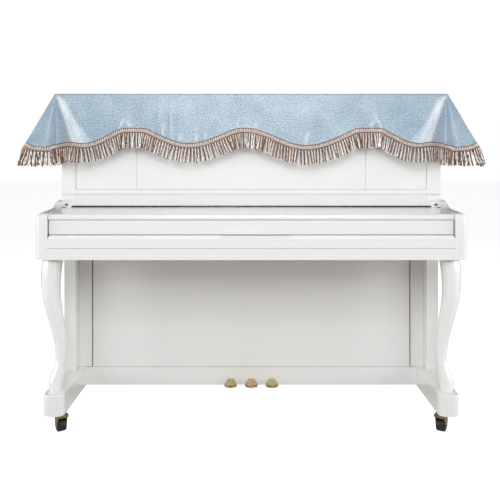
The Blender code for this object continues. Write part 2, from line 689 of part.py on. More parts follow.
def main():
    clear_scene()
    collection = bpy.data.collections.new("covered_piano")
    bpy.context.scene.collection.children.link(collection)
    lacquer = make_material("white_lacquer", (0.84, 0.84, 0.83), 0.28)
    spruce = make_material("soundboard_spruce", (0.62, 0.43, 0.24), 0.5)
    beech = make_material("post_beech", (0.50, 0.33, 0.19), 0.5)
    brass = make_material("brass", (0.62, 0.48, 0.24), 0.3, 1.0)
    steel = make_material("hinge_steel", (0.16, 0.15, 0.14), 0.35, 1.0)
    rubber = make_material("wheel_rubber", (0.02, 0.02, 0.022), 0.5)
    cloth = make_material("satin_cloth", (0.40, 0.51, 0.60), 0.42)
    yarn = make_material("fringe_yarn", (0.40, 0.31, 0.24), 0.8)
    build_case(lacquer, spruce, beech)
    build_keyboard_end(lacquer, steel)
    build_legs(lacquer)
    build_feet(lacquer, brass, rubber)
    build_pedals(brass)
    build_cover(cloth)
    # The strips meet in the creases beside the corners' folds.
    first = 0
    for (kind, length, out), word in zip(RUNS, STRIPS):
        build_fringe(f"fringe_{word}", first, first + STEPS[kind], yarn)
        first += STEPS[kind]


main()
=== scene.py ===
# Dresses the covered piano: satin cloth with soft creases, a gimp braid with twisted two-colour yarns,
# and a white lacquered piano under it. Metres, +Z up, the piano's front faces -Y.
import json
import math
import random

import bpy
from mathutils import Matrix, Vector, noise


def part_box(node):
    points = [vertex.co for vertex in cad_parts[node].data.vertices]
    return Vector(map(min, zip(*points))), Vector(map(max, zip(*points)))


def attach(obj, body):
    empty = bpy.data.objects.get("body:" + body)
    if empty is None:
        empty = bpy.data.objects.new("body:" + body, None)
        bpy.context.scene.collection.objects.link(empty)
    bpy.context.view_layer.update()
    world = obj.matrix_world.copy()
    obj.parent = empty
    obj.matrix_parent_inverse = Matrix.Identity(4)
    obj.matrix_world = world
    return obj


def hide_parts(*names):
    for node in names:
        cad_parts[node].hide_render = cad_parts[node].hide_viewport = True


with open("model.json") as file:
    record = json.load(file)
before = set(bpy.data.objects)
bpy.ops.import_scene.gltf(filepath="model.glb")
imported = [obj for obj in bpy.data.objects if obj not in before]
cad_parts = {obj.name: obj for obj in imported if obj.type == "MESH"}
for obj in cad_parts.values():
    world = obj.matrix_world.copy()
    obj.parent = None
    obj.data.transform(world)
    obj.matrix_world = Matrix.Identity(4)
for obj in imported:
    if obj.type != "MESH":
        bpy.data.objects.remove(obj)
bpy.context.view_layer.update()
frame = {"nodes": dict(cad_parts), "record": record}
bpy.ops.object.select_all(action="DESELECT")

lidLow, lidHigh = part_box("lid")
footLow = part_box("foot_left")[0]
frontY = footLow[1]                  # front of the foot blocks, where depth is counted from

# Studio

studio = {
    "cameraBack": 2.4,               # from the front of the foot blocks
    "cameraHeight": 0.964,
    "lens": 49.75,
    "shiftUp": -0.18,
    "shiftRight": -0.0025,
    "wallLight": 0.09,               # soft light from all sides
    "paper": 0.60,
    "paperGlow": 0.90,               # seen by the camera alone, so that the floor is as white as the wall
    # name, place, target, size, power
    "softboxes": (
        ("mainBox", (0.0, -2.9, 2.2), (0, 0, 0.8), 1.5, 40),
        ("leftSide", (-3.3, -0.6, 1.2), (0, 0, 0.8), 1.4, 36), ("rightSide", (3.3, -0.6, 1.2), (0, 0, 0.8), 1.4, 36),
        ("leftFront", (-3.5, -2.0, 1.1), (0, 0, 0.8), 1.4, 30), ("rightFront", (3.5, -2.0, 1.1), (0, 0, 0.8), 1.4, 30),
        ("overBox", (0.0, -1.9, 2.7), (0, 0, 0.8), 1.6, 20), ("backBox", (0.0, 3.2, 3.0), (0, 0, 1.0), 2.6, 40),
    ),
}


def buildStudio():
    print("studio")
    cameraData = bpy.data.cameras.new("photoCamera")
    cameraData.lens = studio["lens"]
    cameraData.sensor_width = 36
    cameraData.shift_x = studio["shiftRight"]
    cameraData.shift_y = studio["shiftUp"]
    camera = bpy.data.objects.new("photoCamera", cameraData)
    camera.location = (0, frontY - studio["cameraBack"], studio["cameraHeight"])
    camera.rotation_euler = (math.pi / 2, 0, 0)
    scene = bpy.context.scene
    scene.collection.objects.link(camera)
    scene.camera = camera
    scene.view_settings.view_transform = "Standard"
    world = bpy.data.worlds.new("studioWorld")
    scene.world = world
    world.use_nodes = True
    tree = world.node_tree
    # White behind the piano, and a softer white for the light it gives
    seen = addNode(tree, "ShaderNodeLightPath").outputs["Is Camera Ray"]
    strength = mathNode(tree, "MULTIPLY_ADD", seen, 1.02 - studio["wallLight"], studio["wallLight"])
    background = tree.nodes["Background"]
    background.inputs["Color"].default_value = (1, 1, 1, 1)
    tree.links.new(strength, background.inputs["Strength"])
    for row in studio["softboxes"]:
        addSoftbox(*row)
    bpy.ops.mesh.primitive_plane_add(size=60, location=(0, 0, 0))
    floor = bpy.context.object
    floor.name = "studioFloor"
    paper, tree, surface = newMaterial("floorPaper")
    surface["Base Color"].default_value = (studio["paper"], studio["paper"], studio["paper"], 1)
    surface["Roughness"].default_value = 0.9
    surface["Emission Color"].default_value = (1, 1, 1, 1)
    seen = addNode(tree, "ShaderNodeLightPath").outputs["Is Camera Ray"]
    glow = mathNode(tree, "MULTIPLY", seen, studio["paperGlow"])
    tree.links.new(glow, surface["Emission Strength"])
    floor.data.materials.append(paper)
    deselectAll()


def addSoftbox(name, place, target, size, power):
    data = bpy.data.lights.new(name, "AREA")
    data.size = size
    data.energy = power
    light = bpy.data.objects.new(name, data)
    light.location = place
    light.rotation_euler = (Vector(target) - Vector(place)).to_track_quat("-Z", "Y").to_euler()
    bpy.context.scene.collection.objects.link(light)


# Node helpers

def addNode(tree, kind, inputs=None, **settings):
    node = tree.nodes.new(kind)
    for key, value in settings.items():
        setattr(node, key, value)
    for key, value in (inputs or {}).items():
        if isinstance(value, bpy.types.NodeSocket):
            tree.links.new(value, node.inputs[key])
        else:
            node.inputs[key].default_value = value
    return node


def rampNode(tree, factor, stops):
    ramp = addNode(tree, "ShaderNodeValToRGB", {"Fac": factor})
    for i, (place, colour) in enumerate(stops):
        stop = ramp.color_ramp.elements[i] if i < 2 else ramp.color_ramp.elements.new(place)
        stop.position = place
        stop.color = (*colour, 1)
    return ramp


def srgb(*levels):
    # Linear values of screen levels from 0 to 255.
    return tuple(((v / 255 + 0.055) / 1.055) ** 2.4 if v > 10 else v / 255 / 12.92 for v in levels)


# Cloth

cloth = {
    "thick": 0.0018,
    "bend": 0.008,                   # radius over the lid's edge
    "corner": 0.003,                 # radius in plan where the bend starts
    "clear": 0.002,                  # from the lid's edge to the cloth
    "lift": 0.0003,                  # from the lid's top to the cloth
    "crestDrop": 0.1325,
    "cornerDrop": 0.195,
    "endRise": 0.007,
    "flare": 0.05,
    "sideCrest": 0.026,
    "foldEnd": 84.0,
    "frontCrests": ((-0.4545, 0.0455), (-0.029, 0.024), (0.454, 0.048)),
    # centre along the edge, drop, ease towards the crest on its left and on its right
    "frontLobes": ((-0.652, 0.193, 0.0, 0.25), (-0.2395, 0.1915, 0.3, 0.35),
                   (0.211, 0.199, 0.75, 0.2), (0.645, 0.192, 0.3, 0.0)),
    # flat angle from the middle in degrees, lean along the edge, lean out, extra length at the hem
    "fold": ((0.0, -0.372, 0.372, 0.029), (10.0, -0.184, 0.440, 0.037), (20.0, -0.012, 0.418, 0.031),
             (32.0, 0.001, 0.235, 0.010), (45.0, 0.012, 0.022, 0.0), (65.0, 0.340, 0.118, 0.0),
             (84.0, 0.629, 0.036, 0.0), (108.0, 0.891, 0.020, 0.0)),
    "steps": {"front": 220, "back": 220, "side": 48, "corner": 72},
    "rows": 30,
    "flatSize": (1.93, 0.77),
}

clothReach = lidHigh[0] + cloth["clear"] + cloth["thick"] / 2
halfX = clothReach - cloth["bend"] - cloth["corner"]
halfY = (lidHigh[1] - lidLow[1]) / 2 + cloth["clear"] + cloth["thick"] / 2 - cloth["bend"] - cloth["corner"]
middleY = (lidHigh[1] + lidLow[1]) / 2
clothTop = lidHigh[2] + cloth["lift"] + cloth["thick"] / 2
bendLength = cloth["bend"] * math.pi / 2
fanLength = 0.22 * math.pi / 2
runs = (
    ("front", 2 * halfX, (0, -1)), ("corner", fanLength, (0, -1)),
    ("side", 2 * halfY, (1, 0)), ("corner", fanLength, (1, 0)),
    ("back", 2 * halfX, (0, 1)), ("corner", fanLength, (0, 1)),
    ("side", 2 * halfY, (-1, 0)), ("corner", fanLength, (-1, 0)),
)
strips = ("front", "front_right", "right", "back_right", "back", "back_left", "left", "front_left")
around = sum(length for kind, length, out in runs)


def findRun(place):
    # The run that a place round the cover lies in, and how far along that run it is.
    place %= around
    for run in runs:
        if place <= run[1]:
            return run, place
        place -= run[1]
    return runs[-1], runs[-1][1]


def scallop(along):
    # Drop of a long edge: level crests, round lobes between them.
    crests = [(c - h, c + h) for c, h in cloth["frontCrests"]]
    if any(start <= along <= end for start, end in crests):
        return cloth["crestDrop"]
    before = [end for start, end in crests if end < along]
    after = [start for start, end in crests if start > along]
    low = before[-1] if before else -halfX
    high = after[0] if after else halfX
    centre, drop, easeLeft, easeRight = next(row for row in cloth["frontLobes"] if low < row[0] < high)
    if along < centre and before:
        share, ease = (along - low) / (centre - low), easeLeft
    elif along >= centre and after:
        share, ease = (high - along) / (high - centre), easeRight
    else:
        share = abs(along - centre) / (halfX - abs(centre))
        return drop + (cloth["cornerDrop"] - drop) * share - cloth["endRise"] * math.sin(math.pi * share)
    fall = (1 - ease) * math.sin(share * math.pi / 2) + ease * (1 - math.cos(share * math.pi)) / 2
    return cloth["crestDrop"] + (drop - cloth["crestDrop"]) * fall


def roundScallop(along):
    # The same edge with its shoulders eased over a few centimetres.
    ease = min(0.014, halfX - abs(along))
    return (scallop(along - ease) + 2 * scallop(along) + scallop(along + ease)) / 4


def foldRow(angle):
    # The fold's values at a flat angle, on a smooth curve through the rows of its table.
    angle = abs(angle)
    fold = cloth["fold"]
    rows = ((-fold[1][0], -fold[1][2], -fold[1][1], fold[1][3]), *fold)
    i = max(k for k in range(1, len(rows) - 2) if rows[k][0] <= angle)
    before, low, high, after = rows[i - 1:i + 3]
    width = high[0] - low[0]
    share = (angle - low[0]) / width
    values = []
    for k in (1, 2, 3):
        slopeLow = (high[k] - before[k]) / (high[0] - before[0]) * width
        slopeHigh = (after[k] - low[k]) / (after[0] - low[0]) * width
        values.append(low[k] * (1 + 2 * share) * (1 - share) ** 2 + slopeLow * share * (1 - share) ** 2
                      + high[k] * share ** 2 * (3 - 2 * share) + slopeHigh * share ** 2 * (share - 1))
    return values


def dropAt(place):
    # How far the cloth hangs, along itself, from the cover's top to the braid.
    (kind, length, out), along = findRun(place)
    if kind in ("front", "back"):
        return roundScallop(along - length / 2)
    if kind == "side":
        share = max(0.0, abs(along - length / 2) - cloth["sideCrest"]) / (length / 2 - cloth["sideCrest"])
        return cloth["crestDrop"] + (cloth["cornerDrop"] - cloth["crestDrop"]) * math.sin(share * math.pi / 2)
    return cloth["cornerDrop"] + foldRow(90 * along / length - 45)[2]


def hemReach(place):
    # Length along the cloth from the start of its bend to the braid.
    return dropAt(place) + bendLength - cloth["bend"]


def clothPoint(place, reach):
    # A point of the smooth drape, so far along the cloth from where its bend starts.
    (kind, length, out), along = findRun(place)
    ahead = (-out[1], out[0])
    half, sideHalf = (halfX, halfY) if out[1] else (halfY, halfX)
    bend = cloth["bend"]
    way, sideways = out, min(max(along - half, -half), half)
    lean, unit, slip = (0.0, cloth["flare"]), 1.0, 0.0
    if kind == "corner":
        angle = along / length * math.pi / 2
        way = tuple(a * math.cos(angle) + b * math.sin(angle) for a, b in zip(out, ahead))
        sideways = half
        inboard, outward, extra = foldRow(math.degrees(angle) - 45)
        lean = (-inboard, outward) if angle <= math.pi / 4 else (outward, -inboard)
    elif reach > bend:
        inset = min(along, length - along)
        flat = 45 + math.degrees(math.atan2(inset, reach - bend))
        if flat < cloth["foldEnd"]:
            toward = 1 if along < half else -1
            inboard, outward, extra = foldRow(flat)
            slope = inset / (reach - bend)
            stretch = math.hypot(1, slope)
            lean = (toward * (inboard * stretch - slope), outward * stretch)
            slip, unit = toward * slope, stretch ** 2
    x = ahead[0] * sideways + out[0] * sideHalf
    y = ahead[1] * sideways + out[1] * sideHalf
    x, y = x + cloth["corner"] * way[0], y + cloth["corner"] * way[1]
    if reach < 0:
        share = max(reach, -cloth["corner"])
        return Vector((x + way[0] * share, middleY + y + way[1] * share, clothTop))
    shift = (ahead[0] * lean[0] + out[0] * lean[1], ahead[1] * lean[0] + out[1] * lean[1])
    outward = shift[0] * way[0] + shift[1] * way[1]
    lastTurn = math.acos(min(max(outward, 0.0), 0.9))
    turn = min(reach / bend, lastTurn)
    x += way[0] * bend * math.sin(turn)
    y += way[1] * bend * math.sin(turn)
    z = clothTop - bend * (1 - math.cos(turn))
    hang = max(0.0, reach - bend * lastTurn)
    fall = math.sqrt(max(unit - (lean[0] + slip) ** 2 - lean[1] ** 2, 0.04))
    return Vector((x + shift[0] * hang, middleY + y + shift[1] * hang, z - hang * fall))


def reliefAt(place, reach):
    # Soft troughs and ridges that stand out of the smooth drape, in metres.
    hem = hemReach(place)
    height = 0.0
    for centre, width, top, low, tall, slant in creases:
        level = hem - reach
        offset = (place - centre - slant * (level - low) + around / 2) % around - around / 2
        if abs(offset) < 4 * width:
            rise = math.exp(-(offset / width) ** 2)
            fade = math.exp(-((level - low) / top) ** 2)
            height += tall * rise * fade
    start = min(1.0, max(0.0, reach / 0.06)) * min(1.0, max(0.0, (hem - reach) / 0.009))
    height *= min(1.0, max(0.0, (hem - reach) / 0.004))
    soft = noise.noise(Vector((place * 4.5, reach * 9.0, 3.1))) * 0.0022
    soft += noise.noise(Vector((place * 13.0, reach * 16.0, 7.7))) * 0.0009
    return height * min(1.0, reach / 0.03) + soft * start


def paintedSheenAt(place, reach):
    # Painted sheen in the satin's colour, from 0, plain, to 1: a painted highlight in the folds beside a corner and
    # painted glints on small creases.
    hem = hemReach(place)
    light = 0.0
    for centre, width, top, low, tall, slant in creases:
        level = hem - reach
        offset = (place - centre - slant * (level - low) + around / 2) % around - around / 2
        # Painted glints on the narrow creases, brighter the further a crease stands out.
        if width < 0.0065 and abs(offset) < 3 * width:
            light += tall / 0.0070 * math.exp(-(offset / width) ** 2 - ((level - low) / top) ** 2)
    (kind, length, out), along = findRun(place)
    if kind != "corner" and reach > cloth["bend"]:
        slope = min(along, length - along) / (reach - cloth["bend"])
        # A painted highlight in a band beside each corner, brightest along its two edges and fainter on the short
        # sides.
        limit = 0.48 + 0.034 / max(reach, 0.03)
        band = smoothStep(0.26, 0.40, slope) * (1 - smoothStep(limit - 0.22, limit + 0.06, slope))
        edge = math.exp(-((slope - 0.40) / 0.05) ** 2) + 0.9 * math.exp(-((slope - limit + 0.10) / 0.05) ** 2)
        low = smoothStep(0.05, 0.13, reach)
        light += band * ((0.86 - 0.60 * low) + 0.52 * low * edge) * (1.0 if out[1] else 0.4)
        # Painted light that lightens the shaded wedge close to each corner.
        light += 0.22 * (1 - smoothStep(0.22, 0.36, slope))
    return min(1.0, light)


def smoothStep(low, high, value):
    share = min(1.0, max(0.0, (value - low) / (high - low)))
    return share * share * (3 - 2 * share)


def sidePlace(name, share):
    # A place by its run's name and how far along that run it is, from 0 to 1.
    start = 0.0
    for (kind, length, out), strip in zip(runs, strips):
        if strip == name:
            return start + length * share
        start += length
    raise ValueError(name)


def frontPlace(x):
    return x + halfX


# centre round the cover, half width, fade height, height above the hem, how far it stands out, slant
creases = [
    (frontPlace(-0.499), 0.0040, 0.022, 0.016, 0.0075, 0.40), (frontPlace(-0.470), 0.0042, 0.013, 0.011, 0.0060, -0.55),
    (frontPlace(-0.478), 0.0080, 0.060, 0.060, 0.0016, 0.05), (frontPlace(-0.358), 0.0120, 0.070, 0.060, 0.0026, 0.06),
    (frontPlace(-0.340), 0.0060, 0.024, 0.018, 0.0045, 0.10), (frontPlace(-0.308), 0.0045, 0.055, 0.055, 0.0034, 0.02),
    (frontPlace(-0.276), 0.0060, 0.016, 0.012, 0.0044, 0.35),
    (frontPlace(-0.212), 0.0050, 0.020, 0.012, 0.0044, 0.10), (frontPlace(-0.178), 0.0045, 0.020, 0.012, 0.0036, 0.0),
    (frontPlace(0.212), 0.0060, 0.030, 0.018, 0.0050, 0.25), (frontPlace(0.236), 0.0120, 0.070, 0.070, 0.0024, 0.0),
    (frontPlace(0.493), 0.0040, 0.022, 0.016, 0.0075, -0.40), (frontPlace(0.464), 0.0042, 0.013, 0.011, 0.0060, 0.55),
    (frontPlace(0.482), 0.0080, 0.060, 0.060, 0.0016, -0.05), (frontPlace(-0.052), 0.0050, 0.022, 0.012, 0.0034, 0.05),
    (frontPlace(0.018), 0.0050, 0.018, 0.010, 0.0030, 0.0),
]
for name, share, tall in (("right", 0.30, 0.004), ("right", 0.62, 0.0045), ("left", 0.36, 0.0045),
                          ("left", 0.70, 0.004), ("back", 0.12, 0.004), ("back", 0.33, 0.0045),
                          ("back", 0.52, 0.0035), ("back", 0.68, 0.0045), ("back", 0.86, 0.004)):
    creases.append((sidePlace(name, share), 0.006, 0.032, 0.012, tall, 0.05))


def drapedPoint(place, reach):
    # The drape with its relief, which stands out along the cloth's own normal.
    point = clothPoint(place, reach)
    if reach < 0.012:
        return point
    small = 0.003
    along = clothPoint(place + small, reach) - clothPoint(place - small, reach)
    down = point - clothPoint(place, reach - small)
    normal = down.cross(along).normalized()
    return point + normal * reliefAt(place, reach)


def stations(steps):
    places, start = [], 0.0
    for kind, length, out in runs:
        places += [start + length * i / steps[kind] for i in range(steps[kind])]
        start += length
    return places


def flatPlace(place, reach):
    # Where a point of the drape lies in the flat cloth, for its weave.
    (kind, length, out), along = findRun(place)
    ahead = (-out[1], out[0])
    half, sideHalf = (halfX, halfY) if out[1] else (halfY, halfX)
    way, sideways = out, along - half
    if kind == "corner":
        angle = along / length * math.pi / 2
        way = tuple(a * math.cos(angle) + b * math.sin(angle) for a, b in zip(out, ahead))
        sideways = half
    reach += cloth["corner"]
    return (ahead[0] * sideways + out[0] * sideHalf + way[0] * reach,
            ahead[1] * sideways + out[1] * sideHalf + way[1] * reach)


def buildCloth(material):
    # A grid for the hanging part, wrapped round the lid, and a grid for the top, sewn together.
    print("cloth")
    steps = cloth["steps"]
    places = stations(steps)
    count, rows = len(places), cloth["rows"]
    edgeHide = 0.014                 # the cloth ends inside the braid
    bpy.ops.mesh.primitive_grid_add(x_subdivisions=count, y_subdivisions=rows + 4, size=2)
    skirt = bpy.context.object
    flat, paintedSheen = {}, {}
    for vertex in skirt.data.vertices:
        column = round((vertex.co.x + 1) / 2 * count)
        row = round((vertex.co.y + 1) / 2 * (rows + 4))
        place = places[column % count]
        hem = hemReach(place) + edgeHide
        if row <= 4:
            reach = -cloth["corner"] + (cloth["corner"] + bendLength) * row / 4
        else:
            reach = bendLength + (hem - bendLength) * (row - 4) / rows
        flat[vertex.index] = flatPlace(place, reach)
        # How much painted highlight the satin's colour takes at this point.
        paintedSheen[vertex.index] = paintedSheenAt(place, reach)
        vertex.co = drapedPoint(place, reach)
    writeFlatMap(skirt, flat)
    writePaintedSheen(skirt, paintedSheen)
    bpy.ops.mesh.primitive_grid_add(x_subdivisions=steps["front"], y_subdivisions=steps["side"], size=2)
    top = bpy.context.object
    flat = {}
    for vertex in top.data.vertices:
        x, y = vertex.co.x * halfX, vertex.co.y * halfY
        flat[vertex.index] = (x, y)
        inside = min(1.0, 8 * min(1 - abs(vertex.co.x), 1 - abs(vertex.co.y)))
        swell = max(0.0, noise.noise(Vector((x * 5, y * 7, 1.3)))) * 0.0022
        swell += max(0.0, noise.noise(Vector((x * 14, y * 17, 5.3)))) * 0.0007
        vertex.co = Vector((x, middleY + y, clothTop + swell * inside))
    writeFlatMap(top, flat)
    writePaintedSheen(top, {})
    skirt.select_set(True)
    bpy.context.view_layer.objects.active = skirt
    bpy.ops.object.join()
    bpy.ops.object.mode_set(mode="EDIT")
    bpy.ops.mesh.select_all(action="SELECT")
    bpy.ops.mesh.remove_doubles(threshold=0.00005)
    bpy.ops.mesh.normals_make_consistent(inside=False)
    bpy.ops.object.mode_set(mode="OBJECT")
    skirt.name = "clothCover"
    thick = skirt.modifiers.new("thickness", "SOLIDIFY")
    thick.thickness = cloth["thick"]
    thick.offset = 0
    bpy.ops.object.modifier_apply(modifier="thickness")
    bpy.ops.object.shade_smooth_by_angle(angle=math.radians(60))
    skirt.data.materials.append(material)
    bpy.ops.object.select_all(action="DESELECT")
    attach(skirt, "root")
    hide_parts("cover")
    return skirt


def writePaintedSheen(obj, paintedSheen):
    # Each point's painted highlight, kept as an attribute that the satin's colour reads.
    layer = obj.data.attributes.new("paintedSheen", "FLOAT", "POINT")
    for i in range(len(obj.data.vertices)):
        layer.data[i].value = paintedSheen.get(i, 0.0)


def writeFlatMap(obj, flat):
    # A UV map in metres of flat cloth.
    layer = obj.data.uv_layers.get("flat") or obj.data.uv_layers.new(name="flat")
    for other in list(obj.data.uv_layers):
        if other.name != "flat":
            obj.data.uv_layers.remove(other)
    layer = obj.data.uv_layers["flat"]
    for loop in obj.data.loops:
        layer.data[loop.index].uv = flat[loop.vertex_index]


# Braid and fringe

fringe = {
    "pitch": 0.0053,                 # from yarn to yarn
    "length": 0.0565,
    "radius": 0.0023,
    "lean": 0.50,                    # 0 hangs straight down, 1 follows the cloth
    "sway": 0.075,
    "braidWidth": 0.0200,
    "beadPitch": 0.0086,
    "beadSize": (0.0025, 0.0022, 0.0042),
    "beadTurn": -38,                 # in degrees
    "clump": 0.26,                   # how much the brown yarns swell and thin along the fringe
    "ringStep": 0.0030,
    "seed": 41,
}

# out of the cloth and down it, in millimetres: a cord, a raised band, a groove, a flat band, a cord
braidProfile = (
    (0.0, -1.0), (1.2, -0.8), (2.1, -0.1), (2.35, 0.9), (2.0, 1.8), (1.45, 2.3), (1.75, 3.0), (1.9, 6.0), (1.75, 9.0),
    (1.35, 9.6), (1.85, 10.3), (2.0, 13.4), (1.85, 16.5), (1.4, 17.2), (2.0, 17.9), (2.2, 18.8), (1.8, 19.8),
    (0.8, 20.2), (-0.8, 20.2), (-1.8, 19.0), (-1.7, 10.0), (-1.7, 1.2), (-1.1, -0.7),
)


def hemFrame(place):
    # At the cloth's edge: the point, the way out of the cloth and the way down it.
    small = 0.002
    point = clothPoint(place, hemReach(place))
    along = (clothPoint(place + small, hemReach(place + small))
             - clothPoint(place - small, hemReach(place - small))).normalized()
    fall = (point - clothPoint(place, hemReach(place) - 0.01)).normalized()
    out = fall.cross(along).normalized()
    return point, out, along.cross(out).normalized()


def hemLine(start, end):
    # Frames at short, even steps from one place round the cover to another, with their distance along the hem.
    count = max(8, round((end - start) / 0.0011))
    frames = [hemFrame(start + (end - start) * i / count) for i in range(count + 1)]
    travel = [0.0]
    for a, b in zip(frames, frames[1:]):
        travel.append(travel[-1] + (b[0] - a[0]).length)
    return frames, travel


def frameAt(line, distance):
    frames, travel = line
    low, high = 0, len(travel) - 2
    while low < high:
        middle = (low + high + 1) // 2
        low, high = (middle, high) if travel[middle] <= distance else (low, middle - 1)
    share = min(1.0, max(0.0, (distance - travel[low]) / max(travel[low + 1] - travel[low], 1e-9)))
    return [a.lerp(b, share) for a, b in zip(frames[low], frames[low + 1])]


def deselectAll():
    bpy.ops.object.select_all(action="DESELECT")


def buildYarn():
    # One hanging yarn of two plies: a pinched six-sided section, drawn out ten times with a turn each time.
    deselectAll()
    bpy.ops.mesh.primitive_circle_add(vertices=6, radius=fringe["radius"], fill_type="NGON")
    yarn = bpy.context.object
    steps = 10
    bpy.ops.object.mode_set(mode="EDIT")
    bpy.ops.transform.resize(value=(1.15, 0.78, 1))
    for i in range(steps):
        bpy.ops.mesh.extrude_region_move(TRANSFORM_OT_translate={"value": (0, 0, -fringe["length"] / steps)})
        bpy.ops.transform.rotate(value=math.radians(52), orient_axis="Z", center_override=(0, 0, 0))
        if i == steps - 2:
            bpy.ops.transform.resize(value=(1.12, 1.12, 1), center_override=(0, 0, 0))
        if i == steps - 1:
            bpy.ops.transform.resize(value=(1.08, 1.3, 1), center_override=(0, 0, 0))
    bpy.ops.object.mode_set(mode="OBJECT")
    return takeShape(yarn)


def buildBead():
    # A slanted oval stitch that lies on the braid.
    deselectAll()
    bpy.ops.mesh.primitive_uv_sphere_add(segments=8, ring_count=4, radius=1)
    bead = bpy.context.object
    bpy.ops.object.mode_set(mode="EDIT")
    bpy.ops.transform.resize(value=fringe["beadSize"])
    bpy.ops.transform.rotate(value=math.radians(fringe["beadTurn"]), orient_axis="Y", center_override=(0, 0, 0))
    bpy.ops.object.mode_set(mode="OBJECT")
    return takeShape(bead)


def takeShape(obj):
    # The points and faces of a pattern piece, which is then cleared away.
    points = [v.co.copy() for v in obj.data.vertices]
    faces = [tuple(f.vertices) for f in obj.data.polygons]
    mesh = obj.data
    bpy.data.objects.remove(obj)
    bpy.data.meshes.remove(mesh)
    return points, faces


def newTrim():
    # The many small shapes of one length of trim, collected before they become one mesh.
    return {"points": [], "faces": [], "slots": [], "places": [], "tints": []}


def addShape(trim, points, faces, slot, places, tint):
    first = len(trim["points"])
    trim["points"] += points
    trim["faces"] += [tuple(first + i for i in face) for face in faces]
    trim["slots"] += [slot] * len(faces)
    trim["places"] += places
    trim["tints"] += [tint] * len(points)


def makeTrim(trim, name, materials):
    mesh = bpy.data.meshes.new(name)
    mesh.from_pydata(trim["points"], [], trim["faces"])
    for material in materials:
        mesh.materials.append(material)
    mesh.polygons.foreach_set("material_index", trim["slots"])
    layer = mesh.uv_layers.new(name="flat")
    for loop in mesh.loops:
        layer.data[loop.index].uv = trim["places"][loop.vertex_index]
    tint = mesh.attributes.new("tint", "FLOAT", "POINT")
    tint.data.foreach_set("value", trim["tints"])
    mesh.update()
    obj = bpy.data.objects.new(name, mesh)
    bpy.context.scene.collection.objects.link(obj)
    deselectAll()
    obj.select_set(True)
    bpy.context.view_layer.objects.active = obj
    bpy.ops.object.mode_set(mode="EDIT")
    bpy.ops.mesh.select_all(action="SELECT")
    bpy.ops.mesh.normals_make_consistent(inside=False)
    bpy.ops.object.mode_set(mode="OBJECT")
    bpy.ops.object.shade_smooth_by_angle(angle=math.radians(50))
    return obj


def addBraid(trim, line, total):
    steps = max(4, round(total / fringe["ringStep"]))
    count = len(braidProfile)
    around = [0.0]
    for a, b in zip(braidProfile, braidProfile[1:]):
        around.append(around[-1] + math.dist(a, b) / 1000)
    points, places = [], []
    for i in range(steps + 1):
        distance = 0.0004 + (total - 0.0008) * i / steps
        point, out, down = frameAt(line, distance)
        for (outward, low), round_ in zip(braidProfile, around):
            points.append(point + out * outward / 1000 + down * low / 1000)
            places.append((distance, round_))
    faces = [(i * count + j, i * count + (j + 1) % count, (i + 1) * count + (j + 1) % count, (i + 1) * count + j)
             for i in range(steps) for j in range(count)]
    faces += [tuple(range(count)), tuple(range(steps * count, (steps + 1) * count))]
    addShape(trim, points, faces, 0, places, 0.5)


def addBeads(trim, line, total, bead, chance):
    points, faces = bead
    beads = int(total / fringe["beadPitch"])
    for i in range(beads):
        distance = (i + 0.5) * total / beads
        point, out, down = frameAt(line, distance)
        along = out.cross(down)
        centre = point + down * 0.0060 + out * 0.0017
        size = chance.uniform(0.92, 1.08)
        moved = [centre + along * p.x * size + out * p.y - down * p.z * size for p in points]
        addShape(trim, moved, faces, 1, [(distance + p.x, p.z) for p in points], chance.random())


def addYarns(trim, line, total, yarn, chance, first):
    points, faces = yarn
    yarns = int(total / fringe["pitch"])
    sway, begin = 0.0, chance.uniform(0, 9)
    for i in range(yarns):
        distance = (i + 0.5) * total / yarns + chance.gauss(0, 0.00035)
        point, out, down = frameAt(line, min(max(distance, 0.001), total - 0.001))
        along = out.cross(down).normalized()
        lean = fringe["lean"]
        fall = down * lean + Vector((0, 0, lean - 1))
        sway = sway * 0.75 + chance.gauss(0, fringe["sway"] * 0.6)
        fall += along * (sway + chance.gauss(0, fringe["sway"] * 0.35)) + out * chance.gauss(0.01, 0.02)
        fall.normalize()
        curl = chance.gauss(0, 0.0011)
        side = fall.cross(out).normalized()
        front = side.cross(fall).normalized()
        turn = chance.uniform(0, math.tau)
        stretch = chance.uniform(0.93, 1.04)
        brown = (i + first) % 2 == 0
        swell = fringe["clump"] * noise.noise(Vector((distance * 22, begin, 0.4))) * (1 if brown else -1)
        thick = chance.uniform(0.90, 1.10) * (1.08 if brown else 0.92) * (1 + swell)
        root = point + down * (fringe["braidWidth"] - 0.0016) + out * (0.0003 + 0.0012 * swell)
        moved, places = [], []
        for p in points:
            share = -p.z / fringe["length"]
            x = p.x * math.cos(turn) - p.y * math.sin(turn)
            y = p.x * math.sin(turn) + p.y * math.cos(turn)
            bow = curl * math.sin(math.pi * share)
            moved.append(root + side * (x * thick + bow) + front * y * thick - fall * p.z * stretch)
            places.append((math.atan2(p.y, p.x) / math.tau, -p.z))
        addShape(trim, moved, faces, 2 if brown else 3, places, chance.random())
    return first + yarns


def buildTrim(materials):
    print("braid and fringe")
    yarn, bead = buildYarn(), buildBead()
    chance = random.Random(fringe["seed"])
    start, first, made = 0.0, 0, []
    for (kind, length, out), strip in zip(runs, strips):
        line = hemLine(start, start + length)
        total = line[1][-1]
        trim = newTrim()
        addBraid(trim, line, total)
        addBeads(trim, line, total, bead, chance)
        first = addYarns(trim, line, total, yarn, chance, first)
        obj = makeTrim(trim, f"trim_{strip}", materials)
        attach(obj, "root")
        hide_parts(f"fringe_{strip}")
        made.append(obj)
        start += length
    deselectAll()
    return made


# Casters

